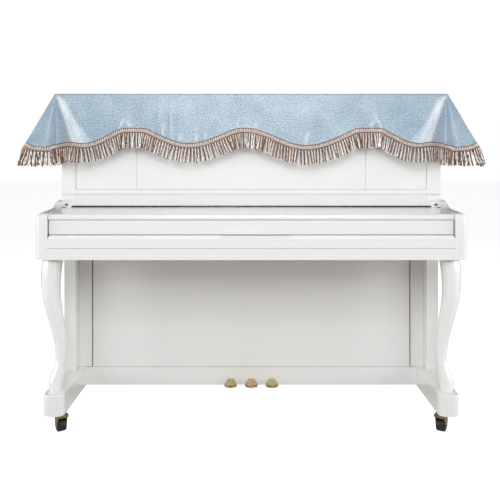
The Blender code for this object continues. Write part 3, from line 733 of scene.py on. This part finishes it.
caster = {
    "wheelRadius": 0.0232,
    "axleHeight": 0.0235,
    "wheelWidth": 0.0290,
    "cheekThick": 0.0030,
    "cheekTop": 0.0380,              # along the wheel's way
    "cheekLow": 0.0180,
    "crown": (0.0500, 0.0560),       # from low to high, over the wheel
    "cheekEnd": 0.0135,              # height of its lower end
    "axle": 0.0036,
    "plate": 0.0200,
    # end and side, turn in degrees
    "turns": (("front_left", 34), ("front_right", -34), ("back_left", -14), ("back_right", 14)),
}


def pick(obj, test):
    # Goes into edit mode with only the faces selected whose points all pass a test.
    bpy.context.view_layer.objects.active = obj
    obj.select_set(True)
    bpy.ops.object.mode_set(mode="EDIT")
    bpy.ops.mesh.select_mode(type="FACE")
    bpy.ops.mesh.select_all(action="DESELECT")
    bpy.ops.object.mode_set(mode="OBJECT")
    for face in obj.data.polygons:
        face.select = all(test(obj.data.vertices[i].co) for i in face.vertices)
    bpy.ops.object.mode_set(mode="EDIT")


def bevelFaces(obj, test, offset, segments):
    pick(obj, test)
    bpy.ops.mesh.bevel(offset=offset, segments=segments, affect="EDGES")
    bpy.ops.object.mode_set(mode="OBJECT")


def settle():
    # Leaves edit mode and puts the object's turn and size into its mesh.
    bpy.ops.object.mode_set(mode="OBJECT")
    bpy.ops.object.transform_apply(location=True, rotation=True, scale=True)


def joinPieces(pieces, name):
    deselectAll()
    for piece in pieces:
        piece.select_set(True)
    bpy.context.view_layer.objects.active = pieces[0]
    bpy.ops.object.join()
    bpy.ops.object.shade_smooth_by_angle(angle=math.radians(35))
    pieces[0].name = name
    return pieces[0]


def buildWheel():
    # A wheel round the X axis with a rounded tread and a hub that stands out of a dished side.
    deselectAll()
    radius, half = caster["wheelRadius"], caster["wheelWidth"] / 2
    bpy.ops.mesh.primitive_cylinder_add(vertices=40, radius=radius, depth=2 * half, rotation=(0, math.pi / 2, 0))
    wheel = bpy.context.object
    settle()
    for side in (-1, 1):
        bevelFaces(wheel, lambda p: side * p.x > half - 0.0001, 0.0032, 3)
        pick(wheel, lambda p: side * p.x > half - 0.0001)
        bpy.ops.mesh.inset(thickness=0.0030, depth=-0.0016)
        bpy.ops.mesh.inset(thickness=0.0060, depth=0.0)
        bpy.ops.mesh.inset(thickness=0.0008, depth=0.0014)
        bpy.ops.object.mode_set(mode="OBJECT")
    return joinPieces([wheel], "wheelPattern")


def buildFork():
    # Two tapered cheeks under a round plate, with an axle that ends in domed nuts.
    half = caster["wheelWidth"] / 2 + 0.0004
    thick, top = caster["cheekThick"], caster["crown"][1]
    pieces = []
    for side in (-1, 1):
        deselectAll()
        middle = (side * (half + thick / 2), 0, (top + caster["cheekEnd"]) / 2)
        bpy.ops.mesh.primitive_cube_add(size=1, location=middle,
                                        scale=(thick, caster["cheekTop"], top - caster["cheekEnd"]))
        cheek = bpy.context.object
        settle()
        pick(cheek, lambda p: p.z < 0.03)
        bpy.ops.transform.resize(value=(1, caster["cheekLow"] / caster["cheekTop"], 1))
        bpy.ops.object.mode_set(mode="OBJECT")
        bevelFaces(cheek, lambda p: p.z < 0.03, 0.0011, 2)
        pieces.append(cheek)
        deselectAll()
        bpy.ops.mesh.primitive_uv_sphere_add(segments=16, ring_count=8, radius=caster["axle"],
                                             location=(side * (half + thick), 0, caster["axleHeight"]))
        nut = bpy.context.object
        settle()
        pick(nut, lambda p: True)
        bpy.ops.transform.resize(value=(0.6, 1, 1), center_override=(side * (half + thick), 0, 0))
        bpy.ops.object.mode_set(mode="OBJECT")
        pieces.append(nut)
    deselectAll()
    crownLow, crownHigh = caster["crown"]
    bpy.ops.mesh.primitive_cube_add(size=1, location=(0, 0, (crownLow + crownHigh) / 2),
                                    scale=(2 * half, caster["cheekTop"], crownHigh - crownLow))
    crown = bpy.context.object
    settle()
    pick(crown, lambda p: p.z > crownHigh - 0.0001)
    bpy.ops.mesh.bevel(offset=0.0016, segments=3, affect="EDGES")
    bpy.ops.mesh.inset(thickness=0.0070, depth=0.0)
    bpy.ops.mesh.extrude_region_move(TRANSFORM_OT_translate={"value": (0, 0, footLow[2] - 0.0050 - crownHigh)})
    bpy.ops.object.mode_set(mode="OBJECT")
    pieces.append(crown)
    deselectAll()
    bpy.ops.mesh.primitive_cylinder_add(vertices=32, radius=caster["plate"], depth=0.0050,
                                        location=(0, 0, footLow[2] - 0.0028))
    plate = bpy.context.object
    settle()
    bevelFaces(plate, lambda p: p.z < footLow[2] - 0.0040, 0.0012, 2)
    pieces.append(plate)
    deselectAll()
    bpy.ops.mesh.primitive_cylinder_add(vertices=16, radius=0.0026, depth=2 * half, rotation=(0, math.pi / 2, 0),
                                        location=(0, 0, caster["axleHeight"]))
    rod = bpy.context.object
    settle()
    pick(rod, lambda p: abs(p.x) > half - 0.0001)
    bpy.ops.mesh.inset(thickness=0.0006, depth=0.0)
    bpy.ops.object.mode_set(mode="OBJECT")
    pieces.append(rod)
    return joinPieces(pieces, "forkPattern")


def placeCopy(pattern, name, turn, place, material):
    # A copy with its own mesh, turned about Z and moved in its mesh.
    mesh = pattern.data.copy()
    mesh.transform(Matrix.Translation(place) @ Matrix.Rotation(math.radians(turn), 4, "Z"))
    mesh.materials.clear()
    mesh.materials.append(material)
    copy = bpy.data.objects.new(name, mesh)
    bpy.context.scene.collection.objects.link(copy)
    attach(copy, "root")
    return copy


def dropPattern(pattern):
    mesh = pattern.data
    bpy.data.objects.remove(pattern)
    bpy.data.meshes.remove(mesh)


def buildCasters(brass, rubber):
    print("casters")
    wheel, fork = buildWheel(), buildFork()
    for label, turn in caster["turns"]:
        low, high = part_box(f"caster_wheel_{label}")
        middle = Vector(((low[0] + high[0]) / 2, (low[1] + high[1]) / 2, 0))
        axle = middle + Vector((0, 0, caster["axleHeight"]))
        roller = placeCopy(wheel, f"wheel_{label}", turn, axle, rubber)
        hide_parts(f"caster_wheel_{label}")
        holder = placeCopy(fork, f"fork_{label}", turn, middle, brass)
        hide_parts(f"caster_fork_{label}")
    dropPattern(wheel)
    dropPattern(fork)


# Strips behind the narrow gaps between boards, which keep the light from falling through

seams = {
    "thick": 0.0030,
    "inset": 0.0022,                 # behind the boards' faces
    # name, from left to right, from low to high, the board in front of it
    "rows": (("ledgeUpper", -0.72, 0.72, 0.84885, 0.84995, "upper_panel_centre"),
             ("ledgeLower", -0.68, 0.68, 0.8292, 0.8317, "panel_ledge"),
             ("plinthLine", -0.63, 0.63, 0.1424, 0.1446, "knee_panel"),
             ("stileLeft", -0.6825, -0.6808, 0.852, 1.17, "upper_panel_left"),
             ("stileRight", 0.6808, 0.6825, 0.852, 1.17, "upper_panel_right"),
             ("seamLeft", -0.4461, -0.4439, 0.852, 1.17, "upper_panel_centre"),
             ("seamRight", 0.4439, 0.4461, 0.852, 1.17, "upper_panel_centre")),
}


def buildSeams(lacquer):
    print("seam strips")
    for name, left, right, low, high, board in seams["rows"]:
        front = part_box(board)[0][1] + seams["inset"]
        deselectAll()
        middle = ((left + right) / 2, front + seams["thick"] / 2, (low + high) / 2)
        bpy.ops.mesh.primitive_cube_add(size=1, location=middle, scale=(right - left, seams["thick"], high - low))
        strip = bpy.context.object
        settle()
        bevelFaces(strip, lambda p: p.y < front + 0.0001, 0.0003, 2)
        strip.name = name
        strip.data.materials.append(lacquer)
        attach(strip, "root")


# Hinge of the key lid and the screw heads of the stays at its ends

hinge = {
    "radius": 0.0027,
    "knuckle": 0.0262,
    "pitch": 0.0276,
    "head": 0.0064,                  # radius of a stay's screw head
    # from the middle, depth, height of a head's centre
    "heads": ((0.7045, 0.192, 0.7845), (0.7050, 0.236, 0.7945)),
}


def buildHinge(steel):
    print("hinge")
    deselectAll()
    low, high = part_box("fall_hinge")
    count = int((high[0] - low[0]) / hinge["pitch"])
    start = -(count - 1) * hinge["pitch"] / 2
    bpy.ops.mesh.primitive_cylinder_add(vertices=12, radius=hinge["radius"], depth=hinge["knuckle"],
                                        rotation=(0, math.pi / 2, 0),
                                        location=(start, (low[1] + high[1]) / 2, high[2] - hinge["radius"] - 0.0012))
    barrel = bpy.context.object
    settle()
    bevelFaces(barrel, lambda p: abs(p.x - start) > hinge["knuckle"] / 2 - 0.0001, 0.0005, 1)
    repeat = barrel.modifiers.new("knuckles", "ARRAY")
    repeat.count = count
    repeat.use_relative_offset = False
    repeat.use_constant_offset = True
    repeat.constant_offset_displace = (hinge["pitch"], 0, 0)
    bpy.ops.object.modifier_apply(modifier="knuckles")
    bpy.ops.object.shade_smooth_by_angle(angle=math.radians(35))
    barrel.name = "hingeKnuckles"
    barrel.data.materials.append(steel)
    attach(barrel, "root")
    buildStays(steel)


def buildStays(steel):
    # Domed screw heads with a shallow round recess, at both ends of the key lid.
    deselectAll()
    radius = hinge["head"]
    bpy.ops.mesh.primitive_cylinder_add(vertices=24, radius=radius, depth=0.006)
    head = bpy.context.object
    bevelFaces(head, lambda p: p.z > 0.002, 0.0022, 3)
    pick(head, lambda p: p.z > 0.0029)
    bpy.ops.mesh.inset(thickness=0.0008, depth=-0.0005)
    bpy.ops.object.mode_set(mode="OBJECT")
    screw = joinPieces([head], "screwPattern")
    for side, word in ((-1, "left"), (1, "right")):
        for number, (out, depth, height) in enumerate(hinge["heads"]):
            place = Vector((side * out, frontY + depth, height))
            copy = placeCopy(screw, f"stayScrew_{word}_{number + 1}", 0, place, steel)
    dropPattern(screw)


# Shared effects

def newGroup(name, inputs, outputs):
    # A shader node group with named sockets: inputs with their start values, outputs with their types.
    tree = bpy.data.node_groups.new(name, "ShaderNodeTree")
    for label, value in inputs:
        kind = {float: "NodeSocketFloat", tuple: "NodeSocketVector"}[type(value)]
        socket = tree.interface.new_socket(label, in_out="INPUT", socket_type=kind)
        if kind == "NodeSocketFloat":
            socket.default_value = value
    for label, kind in outputs:
        tree.interface.new_socket(label, in_out="OUTPUT", socket_type=kind)
    return tree, tree.nodes.new("NodeGroupInput").outputs, tree.nodes.new("NodeGroupOutput").inputs


def joinSockets(tree, links):
    for source, target in links:
        tree.links.new(source, target)


def mathNode(tree, operation, first, second=0.0, third=0.0):
    node = tree.nodes.new("ShaderNodeMath")
    node.operation = operation
    for i, value in enumerate((first, second, third)):
        if isinstance(value, bpy.types.NodeSocket):
            tree.links.new(value, node.inputs[i])
        else:
            node.inputs[i].default_value = value
    return node.outputs[0]


def buildWeaveGroup():
    # Threads that cross, with a slant figure and cloudy patches: height and shade.
    takes = (("Place", (0, 0, 0)), ("Thread", 2600.0), ("Figure", 560.0), ("Cloud", 11.0))
    tree, given, put = newGroup("weave", takes, (("Height", "NodeSocketFloat"), ("Shade", "NodeSocketFloat")))
    stir = addNode(tree, "ShaderNodeTexNoise",
                   {"Vector": given["Place"], "Scale": 26.0, "Detail": 2.0}).outputs["Color"]
    moved = addNode(tree, "ShaderNodeVectorMath", {0: stir, 1: (0.016, 0.016, 0.0), 2: given["Place"]},
                    operation="MULTIPLY_ADD").outputs[0]
    parts = addNode(tree, "ShaderNodeSeparateXYZ", {"Vector": given["Place"]}).outputs
    warp = mathNode(tree, "SINE", mathNode(tree, "MULTIPLY", parts["X"], given["Thread"]))
    weft = mathNode(tree, "SINE", mathNode(tree, "MULTIPLY", parts["Y"], given["Thread"]))
    crossed = mathNode(tree, "MULTIPLY", warp, weft)
    bent = addNode(tree, "ShaderNodeSeparateXYZ", {"Vector": moved}).outputs
    slant = mathNode(tree, "SINE", mathNode(tree, "MULTIPLY", mathNode(tree, "ADD", bent["X"], bent["Y"]),
                                            given["Figure"]))
    back = mathNode(tree, "SINE", mathNode(tree, "MULTIPLY", mathNode(tree, "SUBTRACT", bent["X"], bent["Y"]),
                                           given["Figure"]))
    figure = mathNode(tree, "MULTIPLY", slant, back)
    cloud = addNode(tree, "ShaderNodeTexNoise", {"Vector": given["Place"], "Scale": given["Cloud"], "Detail": 4.0,
                                                 "Roughness": 0.6}).outputs["Fac"]
    fleck = addNode(tree, "ShaderNodeTexNoise", {"Vector": given["Place"], "Scale": 185.0, "Detail": 3.0,
                                                 "Roughness": 0.7}).outputs["Fac"]
    shade = mathNode(tree, "MULTIPLY_ADD", figure, 0.12, mathNode(tree, "MULTIPLY_ADD", cloud, 0.4, 0.3))
    shade = mathNode(tree, "MULTIPLY_ADD", mathNode(tree, "SUBTRACT", fleck, 0.5), 1.4, shade)
    height = mathNode(tree, "MULTIPLY_ADD", crossed, 0.3, mathNode(tree, "MULTIPLY", figure, 0.9))
    height = mathNode(tree, "MULTIPLY_ADD", fleck, 3.0, height)
    joinSockets(tree, ((height, put["Height"]), (shade, put["Shade"])))
    return tree


def buildTwistGroup():
    # Slanting plies of a yarn or cord, with fuzz; the shade is painted darker in the grooves between the plies, where
    # the height is low.
    tree, given, put = newGroup("twist", (("Place", (0, 0, 0)), ("Plies", 2.0), ("Pitch", 900.0)),
                                (("Height", "NodeSocketFloat"), ("Shade", "NodeSocketFloat")))
    parts = addNode(tree, "ShaderNodeSeparateXYZ", {"Vector": given["Place"]}).outputs
    run = mathNode(tree, "MULTIPLY_ADD", parts["Y"], given["Pitch"],
                   mathNode(tree, "MULTIPLY", mathNode(tree, "MULTIPLY", parts["X"], given["Plies"]), math.tau))
    ply = mathNode(tree, "MULTIPLY_ADD", mathNode(tree, "SINE", run), 0.5, 0.5)
    fuzz = addNode(tree, "ShaderNodeTexNoise",
                   {"Vector": given["Place"], "Scale": 1400.0, "Detail": 2.0}).outputs["Fac"]
    height = mathNode(tree, "MULTIPLY_ADD", fuzz, 0.4, ply)
    shade = mathNode(tree, "MULTIPLY_ADD", mathNode(tree, "SUBTRACT", fuzz, 0.5), 0.6, ply)
    joinSockets(tree, ((height, put["Height"]), (shade, put["Shade"])))
    return tree


def buildTouchGroup():
    # Slight unevenness of a sprayed or polished surface: roughness and height.
    tree, given, put = newGroup("touch", (("Place", (0, 0, 0)), ("Roughness", 0.3), ("Spread", 0.08), ("Scale", 9.0)),
                                (("Roughness", "NodeSocketFloat"), ("Height", "NodeSocketFloat")))
    broad = addNode(tree, "ShaderNodeTexNoise", {"Vector": given["Place"], "Scale": given["Scale"], "Detail": 5.0})
    fine = addNode(tree, "ShaderNodeTexNoise", {"Vector": given["Place"], "Scale": 420.0, "Detail": 2.0})
    rough = mathNode(tree, "MULTIPLY_ADD", mathNode(tree, "SUBTRACT", broad.outputs["Fac"], 0.5), given["Spread"],
                     given["Roughness"])
    height = mathNode(tree, "MULTIPLY_ADD", broad.outputs["Fac"], 3.0, fine.outputs["Fac"])
    joinSockets(tree, ((rough, put["Roughness"]), (height, put["Height"])))
    return tree


def buildGrainGroup():
    # Long wood grain that runs along Z: shade and height.
    tree, given, put = newGroup("grain", (("Place", (0, 0, 0)), ("Rings", 60.0)),
                                (("Shade", "NodeSocketFloat"), ("Height", "NodeSocketFloat")))
    stretched = addNode(tree, "ShaderNodeMapping", {"Vector": given["Place"], "Scale": (1, 1, 0.06)}).outputs[0]
    warp = addNode(tree, "ShaderNodeTexNoise", {"Vector": stretched, "Scale": 6.0, "Detail": 3.0}).outputs["Fac"]
    parts = addNode(tree, "ShaderNodeSeparateXYZ", {"Vector": stretched}).outputs
    rings = mathNode(tree, "MULTIPLY", mathNode(tree, "MULTIPLY_ADD", warp, 0.12, parts["X"]), given["Rings"])
    wave = mathNode(tree, "SINE", mathNode(tree, "MULTIPLY", rings, math.tau))
    rings = mathNode(tree, "MULTIPLY_ADD", wave, 0.5, 0.5)
    fibre = addNode(tree, "ShaderNodeTexNoise", {"Vector": stretched, "Scale": 260.0, "Detail": 3.0}).outputs["Fac"]
    shade = mathNode(tree, "MULTIPLY_ADD", fibre, 0.6, mathNode(tree, "MULTIPLY", rings, 0.4))
    joinSockets(tree, ((shade, put["Shade"]), (fibre, put["Height"])))
    return tree


def effect(material, group, place, **values):
    node = addNode(material.node_tree, "ShaderNodeGroup", node_tree=group)
    material.node_tree.links.new(place, node.inputs["Place"])
    for key, value in values.items():
        node.inputs[key].default_value = value
    return node.outputs


def newMaterial(name):
    material = bpy.data.materials.new(name)
    material.use_nodes = True
    return material, material.node_tree, material.node_tree.nodes["Principled BSDF"].inputs


def objectPlace(tree):
    return addNode(tree, "ShaderNodeTexCoord").outputs["Object"]


def flatMap(tree):
    return addNode(tree, "ShaderNodeUVMap", uv_map="flat").outputs["UV"]


def bumpInto(tree, height, surface, strength, distance):
    bump = addNode(tree, "ShaderNodeBump", {"Height": height, "Strength": strength, "Distance": distance})
    tree.links.new(bump.outputs["Normal"], surface["Normal"])


# Finishes

finishes = {
    "satinDark": srgb(104, 131, 154),
    "satinMid": srgb(154, 177, 194),
    "satinLight": srgb(212, 223, 230),
    # Light blue of the painted highlight on the satin.
    "satinPaintedSheen": srgb(228, 234, 239),
    "lacquer": srgb(238, 238, 237),
    "brownYarn": (srgb(62, 32, 10), srgb(150, 100, 54)),
    "ivoryYarn": (srgb(236, 232, 228), srgb(255, 255, 255)),
    "braid": (srgb(84, 60, 46), srgb(130, 104, 88), srgb(186, 172, 166)),
    "braidCord": srgb(118, 88, 68),
    "bead": (srgb(214, 198, 188), srgb(255, 250, 244)),
    "brass": srgb(212, 188, 134),
    "oldBrass": srgb(160, 140, 100),
    "steel": srgb(112, 108, 104),
    "bareWood": srgb(176, 150, 112),
    "spruce": (srgb(170, 124, 78), srgb(214, 172, 120)),
    "beech": (srgb(140, 98, 64), srgb(186, 140, 98)),
    "rubber": srgb(26, 26, 28),
}


def satinMaterial(weave):
    material, tree, surface = newMaterial("satinCloth")
    shade = effect(material, weave, flatMap(tree))
    colour = rampNode(tree, shade["Shade"], ((0.18, finishes["satinDark"]), (0.5, finishes["satinMid"]),
                                             (0.86, finishes["satinLight"])))
    # Painted highlight: the colour is mixed towards a light blue by the attribute read here, in the folds beside the
    # corners and on small creases.
    paintedSheen = addNode(tree, "ShaderNodeAttribute", attribute_name="paintedSheen").outputs["Fac"]
    amount = mathNode(tree, "MULTIPLY", paintedSheen, mathNode(tree, "MULTIPLY_ADD", shade["Shade"], 1.1, 0.30))
    lit = addNode(tree, "ShaderNodeMix", data_type="RGBA", clamp_factor=True)
    tree.links.new(amount, lit.inputs[0])
    tree.links.new(colour.outputs["Color"], lit.inputs[6])
    lit.inputs[7].default_value = (*finishes["satinPaintedSheen"], 1)
    tree.links.new(lit.outputs[2], surface["Base Color"])
    rough = mathNode(tree, "MULTIPLY_ADD", shade["Shade"], -0.16, 0.40)
    tree.links.new(rough, surface["Roughness"])
    surface["Specular IOR Level"].default_value = 0.8
    surface["Coat Weight"].default_value = 0.25
    surface["Coat Roughness"].default_value = 0.22
    surface["Sheen Weight"].default_value = 0.2
    surface["Sheen Roughness"].default_value = 0.35
    surface["Sheen Tint"].default_value = (0.85, 0.92, 1.0, 1)
    bumpInto(tree, shade["Height"], surface, 0.5, 0.0005)
    return material


def yarnMaterial(name, colours, twist):
    material, tree, surface = newMaterial(name)
    shade = effect(material, twist, flatMap(tree), Plies=2.0, Pitch=1900.0)
    tint = addNode(tree, "ShaderNodeAttribute", attribute_name="tint").outputs["Fac"]
    # The plies' painted shade darkens the yarn's colour in the grooves between them.
    mixed = mathNode(tree, "MULTIPLY_ADD", tint, 0.45, mathNode(tree, "MULTIPLY", shade["Shade"], 0.55))
    colour = rampNode(tree, mixed, ((0.1, colours[0]), (0.8, colours[1])))
    tree.links.new(colour.outputs["Color"], surface["Base Color"])
    surface["Roughness"].default_value = 0.62
    surface["Sheen Weight"].default_value = 0.25
    surface["Sheen Roughness"].default_value = 0.5
    bumpInto(tree, shade["Height"], surface, 0.6, 0.0006)
    return material


def braidMaterial(twist):
    # The map's second value is the distance down the braid, so each line of the braid has its own colour.
    material, tree, surface = newMaterial("braidWeave")
    place = flatMap(tree)
    parts = addNode(tree, "ShaderNodeSeparateXYZ", {"Vector": place}).outputs
    dark, middle, light = finishes["braid"]
    cord = finishes["braidCord"]
    line = mathNode(tree, "DIVIDE", parts["Y"], 0.026)
    colour = rampNode(tree, line, ((0.0, cord), (0.13, cord), (0.15, middle), (0.36, middle), (0.40, dark),
                                   (0.44, light), (0.55, light), (0.70, light), (0.745, dark), (0.8, middle),
                                   (0.9, dark), (1.0, dark)))
    shade = effect(material, twist, place, Plies=260.0, Pitch=2100.0)
    # The braid's colour is painted lighter on the plies' crests and darker in the grooves between them.
    lit = mathNode(tree, "MULTIPLY_ADD", shade["Shade"], 0.5, 0.72)
    mixed = addNode(tree, "ShaderNodeVectorMath", {0: colour.outputs["Color"]}, operation="SCALE")
    tree.links.new(lit, mixed.inputs["Scale"])
    tree.links.new(mixed.outputs[0], surface["Base Color"])
    surface["Roughness"].default_value = 0.6
    surface["Sheen Weight"].default_value = 0.2
    bumpInto(tree, shade["Height"], surface, 0.5, 0.0006)
    return material


def lacquerMaterial(touch):
    material, tree, surface = newMaterial("whiteLacquer")
    surface["Base Color"].default_value = (*finishes["lacquer"], 1)
    feel = effect(material, touch, objectPlace(tree), Roughness=0.24, Spread=0.10, Scale=7.0)
    tree.links.new(feel["Roughness"], surface["Roughness"])
    surface["Coat Weight"].default_value = 0.35
    surface["Coat Roughness"].default_value = 0.12
    bumpInto(tree, feel["Height"], surface, 0.05, 0.0004)
    return material


def bedMaterial(touch):
    # The key bed is lacquered in front and bare wood underneath and at its back.
    material = lacquerMaterial(touch)
    material.name = "keyBedLacquer"
    tree = material.node_tree
    surface = next(n for n in tree.nodes if n.type == "BSDF_PRINCIPLED").inputs
    normal = addNode(tree, "ShaderNodeNewGeometry").outputs["Normal"]
    faces = addNode(tree, "ShaderNodeSeparateXYZ", {"Vector": normal}).outputs
    hidden = mathNode(tree, "MAXIMUM", faces["Y"], mathNode(tree, "MULTIPLY", faces["Z"], -1.0))
    bare = mathNode(tree, "GREATER_THAN", hidden, 0.7)
    colour = rampNode(tree, bare, ((0.0, finishes["lacquer"]), (1.0, finishes["bareWood"])))
    tree.links.new(colour.outputs["Color"], surface["Base Color"])
    return material


def woodMaterial(name, colours, rings, grain):
    material, tree, surface = newMaterial(name)
    wood = effect(material, grain, objectPlace(tree), Rings=rings)
    colour = rampNode(tree, wood["Shade"], ((0.25, colours[0]), (0.75, colours[1])))
    tree.links.new(colour.outputs["Color"], surface["Base Color"])
    surface["Roughness"].default_value = 0.5
    bumpInto(tree, wood["Height"], surface, 0.25, 0.0004)
    return material


def metalMaterial(name, colour, roughness, touch):
    material, tree, surface = newMaterial(name)
    stain = addNode(tree, "ShaderNodeTexNoise",
                    {"Vector": objectPlace(tree), "Scale": 95.0, "Detail": 4.0}).outputs["Fac"]
    tarnish = rampNode(tree, stain, ((0.36, tuple(v * 0.45 for v in colour)), (0.56, colour)))
    tree.links.new(tarnish.outputs["Color"], surface["Base Color"])
    surface["Metallic"].default_value = 1.0
    feel = effect(material, touch, objectPlace(tree), Roughness=roughness, Spread=0.16, Scale=60.0)
    tree.links.new(feel["Roughness"], surface["Roughness"])
    bumpInto(tree, feel["Height"], surface, 0.04, 0.0002)
    return material


def rubberMaterial(touch):
    material, tree, surface = newMaterial("wheelRubber")
    surface["Base Color"].default_value = (*finishes["rubber"], 1)
    feel = effect(material, touch, objectPlace(tree), Roughness=0.48, Spread=0.2, Scale=90.0)
    tree.links.new(feel["Roughness"], surface["Roughness"])
    bumpInto(tree, feel["Height"], surface, 0.08, 0.0003)
    return material


def dressNodes(materials):
    # Each CAD node keeps its shape and takes the finish that its slot names.
    print("finishes on the piano")
    slots = {row["node"]: row["material_slot"] for row in frame["record"]["subparts"]}
    for name, obj in frame["nodes"].items():
        material = materials.get(slots.get(name))
        if material and obj.type == "MESH":
            dressOne(name, material)


def dressOne(name, material):
    mesh = frame["nodes"][name].data
    mesh.materials.clear()
    mesh.materials.append(material)


buildStudio()
weaveGroup, twistGroup = buildWeaveGroup(), buildTwistGroup()
touchGroup, grainGroup = buildTouchGroup(), buildGrainGroup()
satin = satinMaterial(weaveGroup)
trimMaterials = (braidMaterial(twistGroup), yarnMaterial("beadYarn", finishes["bead"], twistGroup),
                 yarnMaterial("brownYarn", finishes["brownYarn"], twistGroup),
                 yarnMaterial("ivoryYarn", finishes["ivoryYarn"], twistGroup))
pianoMaterials = {
    "lacquer": lacquerMaterial(touchGroup),
    "spruce": woodMaterial("spruceBoard", finishes["spruce"], 120.0, grainGroup),
    "beech": woodMaterial("beechPost", finishes["beech"], 30.0, grainGroup),
    "brass": metalMaterial("brass", finishes["brass"], 0.3, touchGroup),
    "steel": metalMaterial("nickelSteel", finishes["steel"], 0.3, touchGroup),
    "rubber": rubberMaterial(touchGroup),
}
dressNodes(pianoMaterials)
buildCasters(metalMaterial("oldBrass", finishes["oldBrass"], 0.34, touchGroup), pianoMaterials["rubber"])
buildSeams(pianoMaterials["lacquer"])
buildHinge(pianoMaterials["steel"])
dressOne("key_bed", bedMaterial(touchGroup))
coverCloth = buildCloth(satin)
trims = buildTrim(trimMaterials)
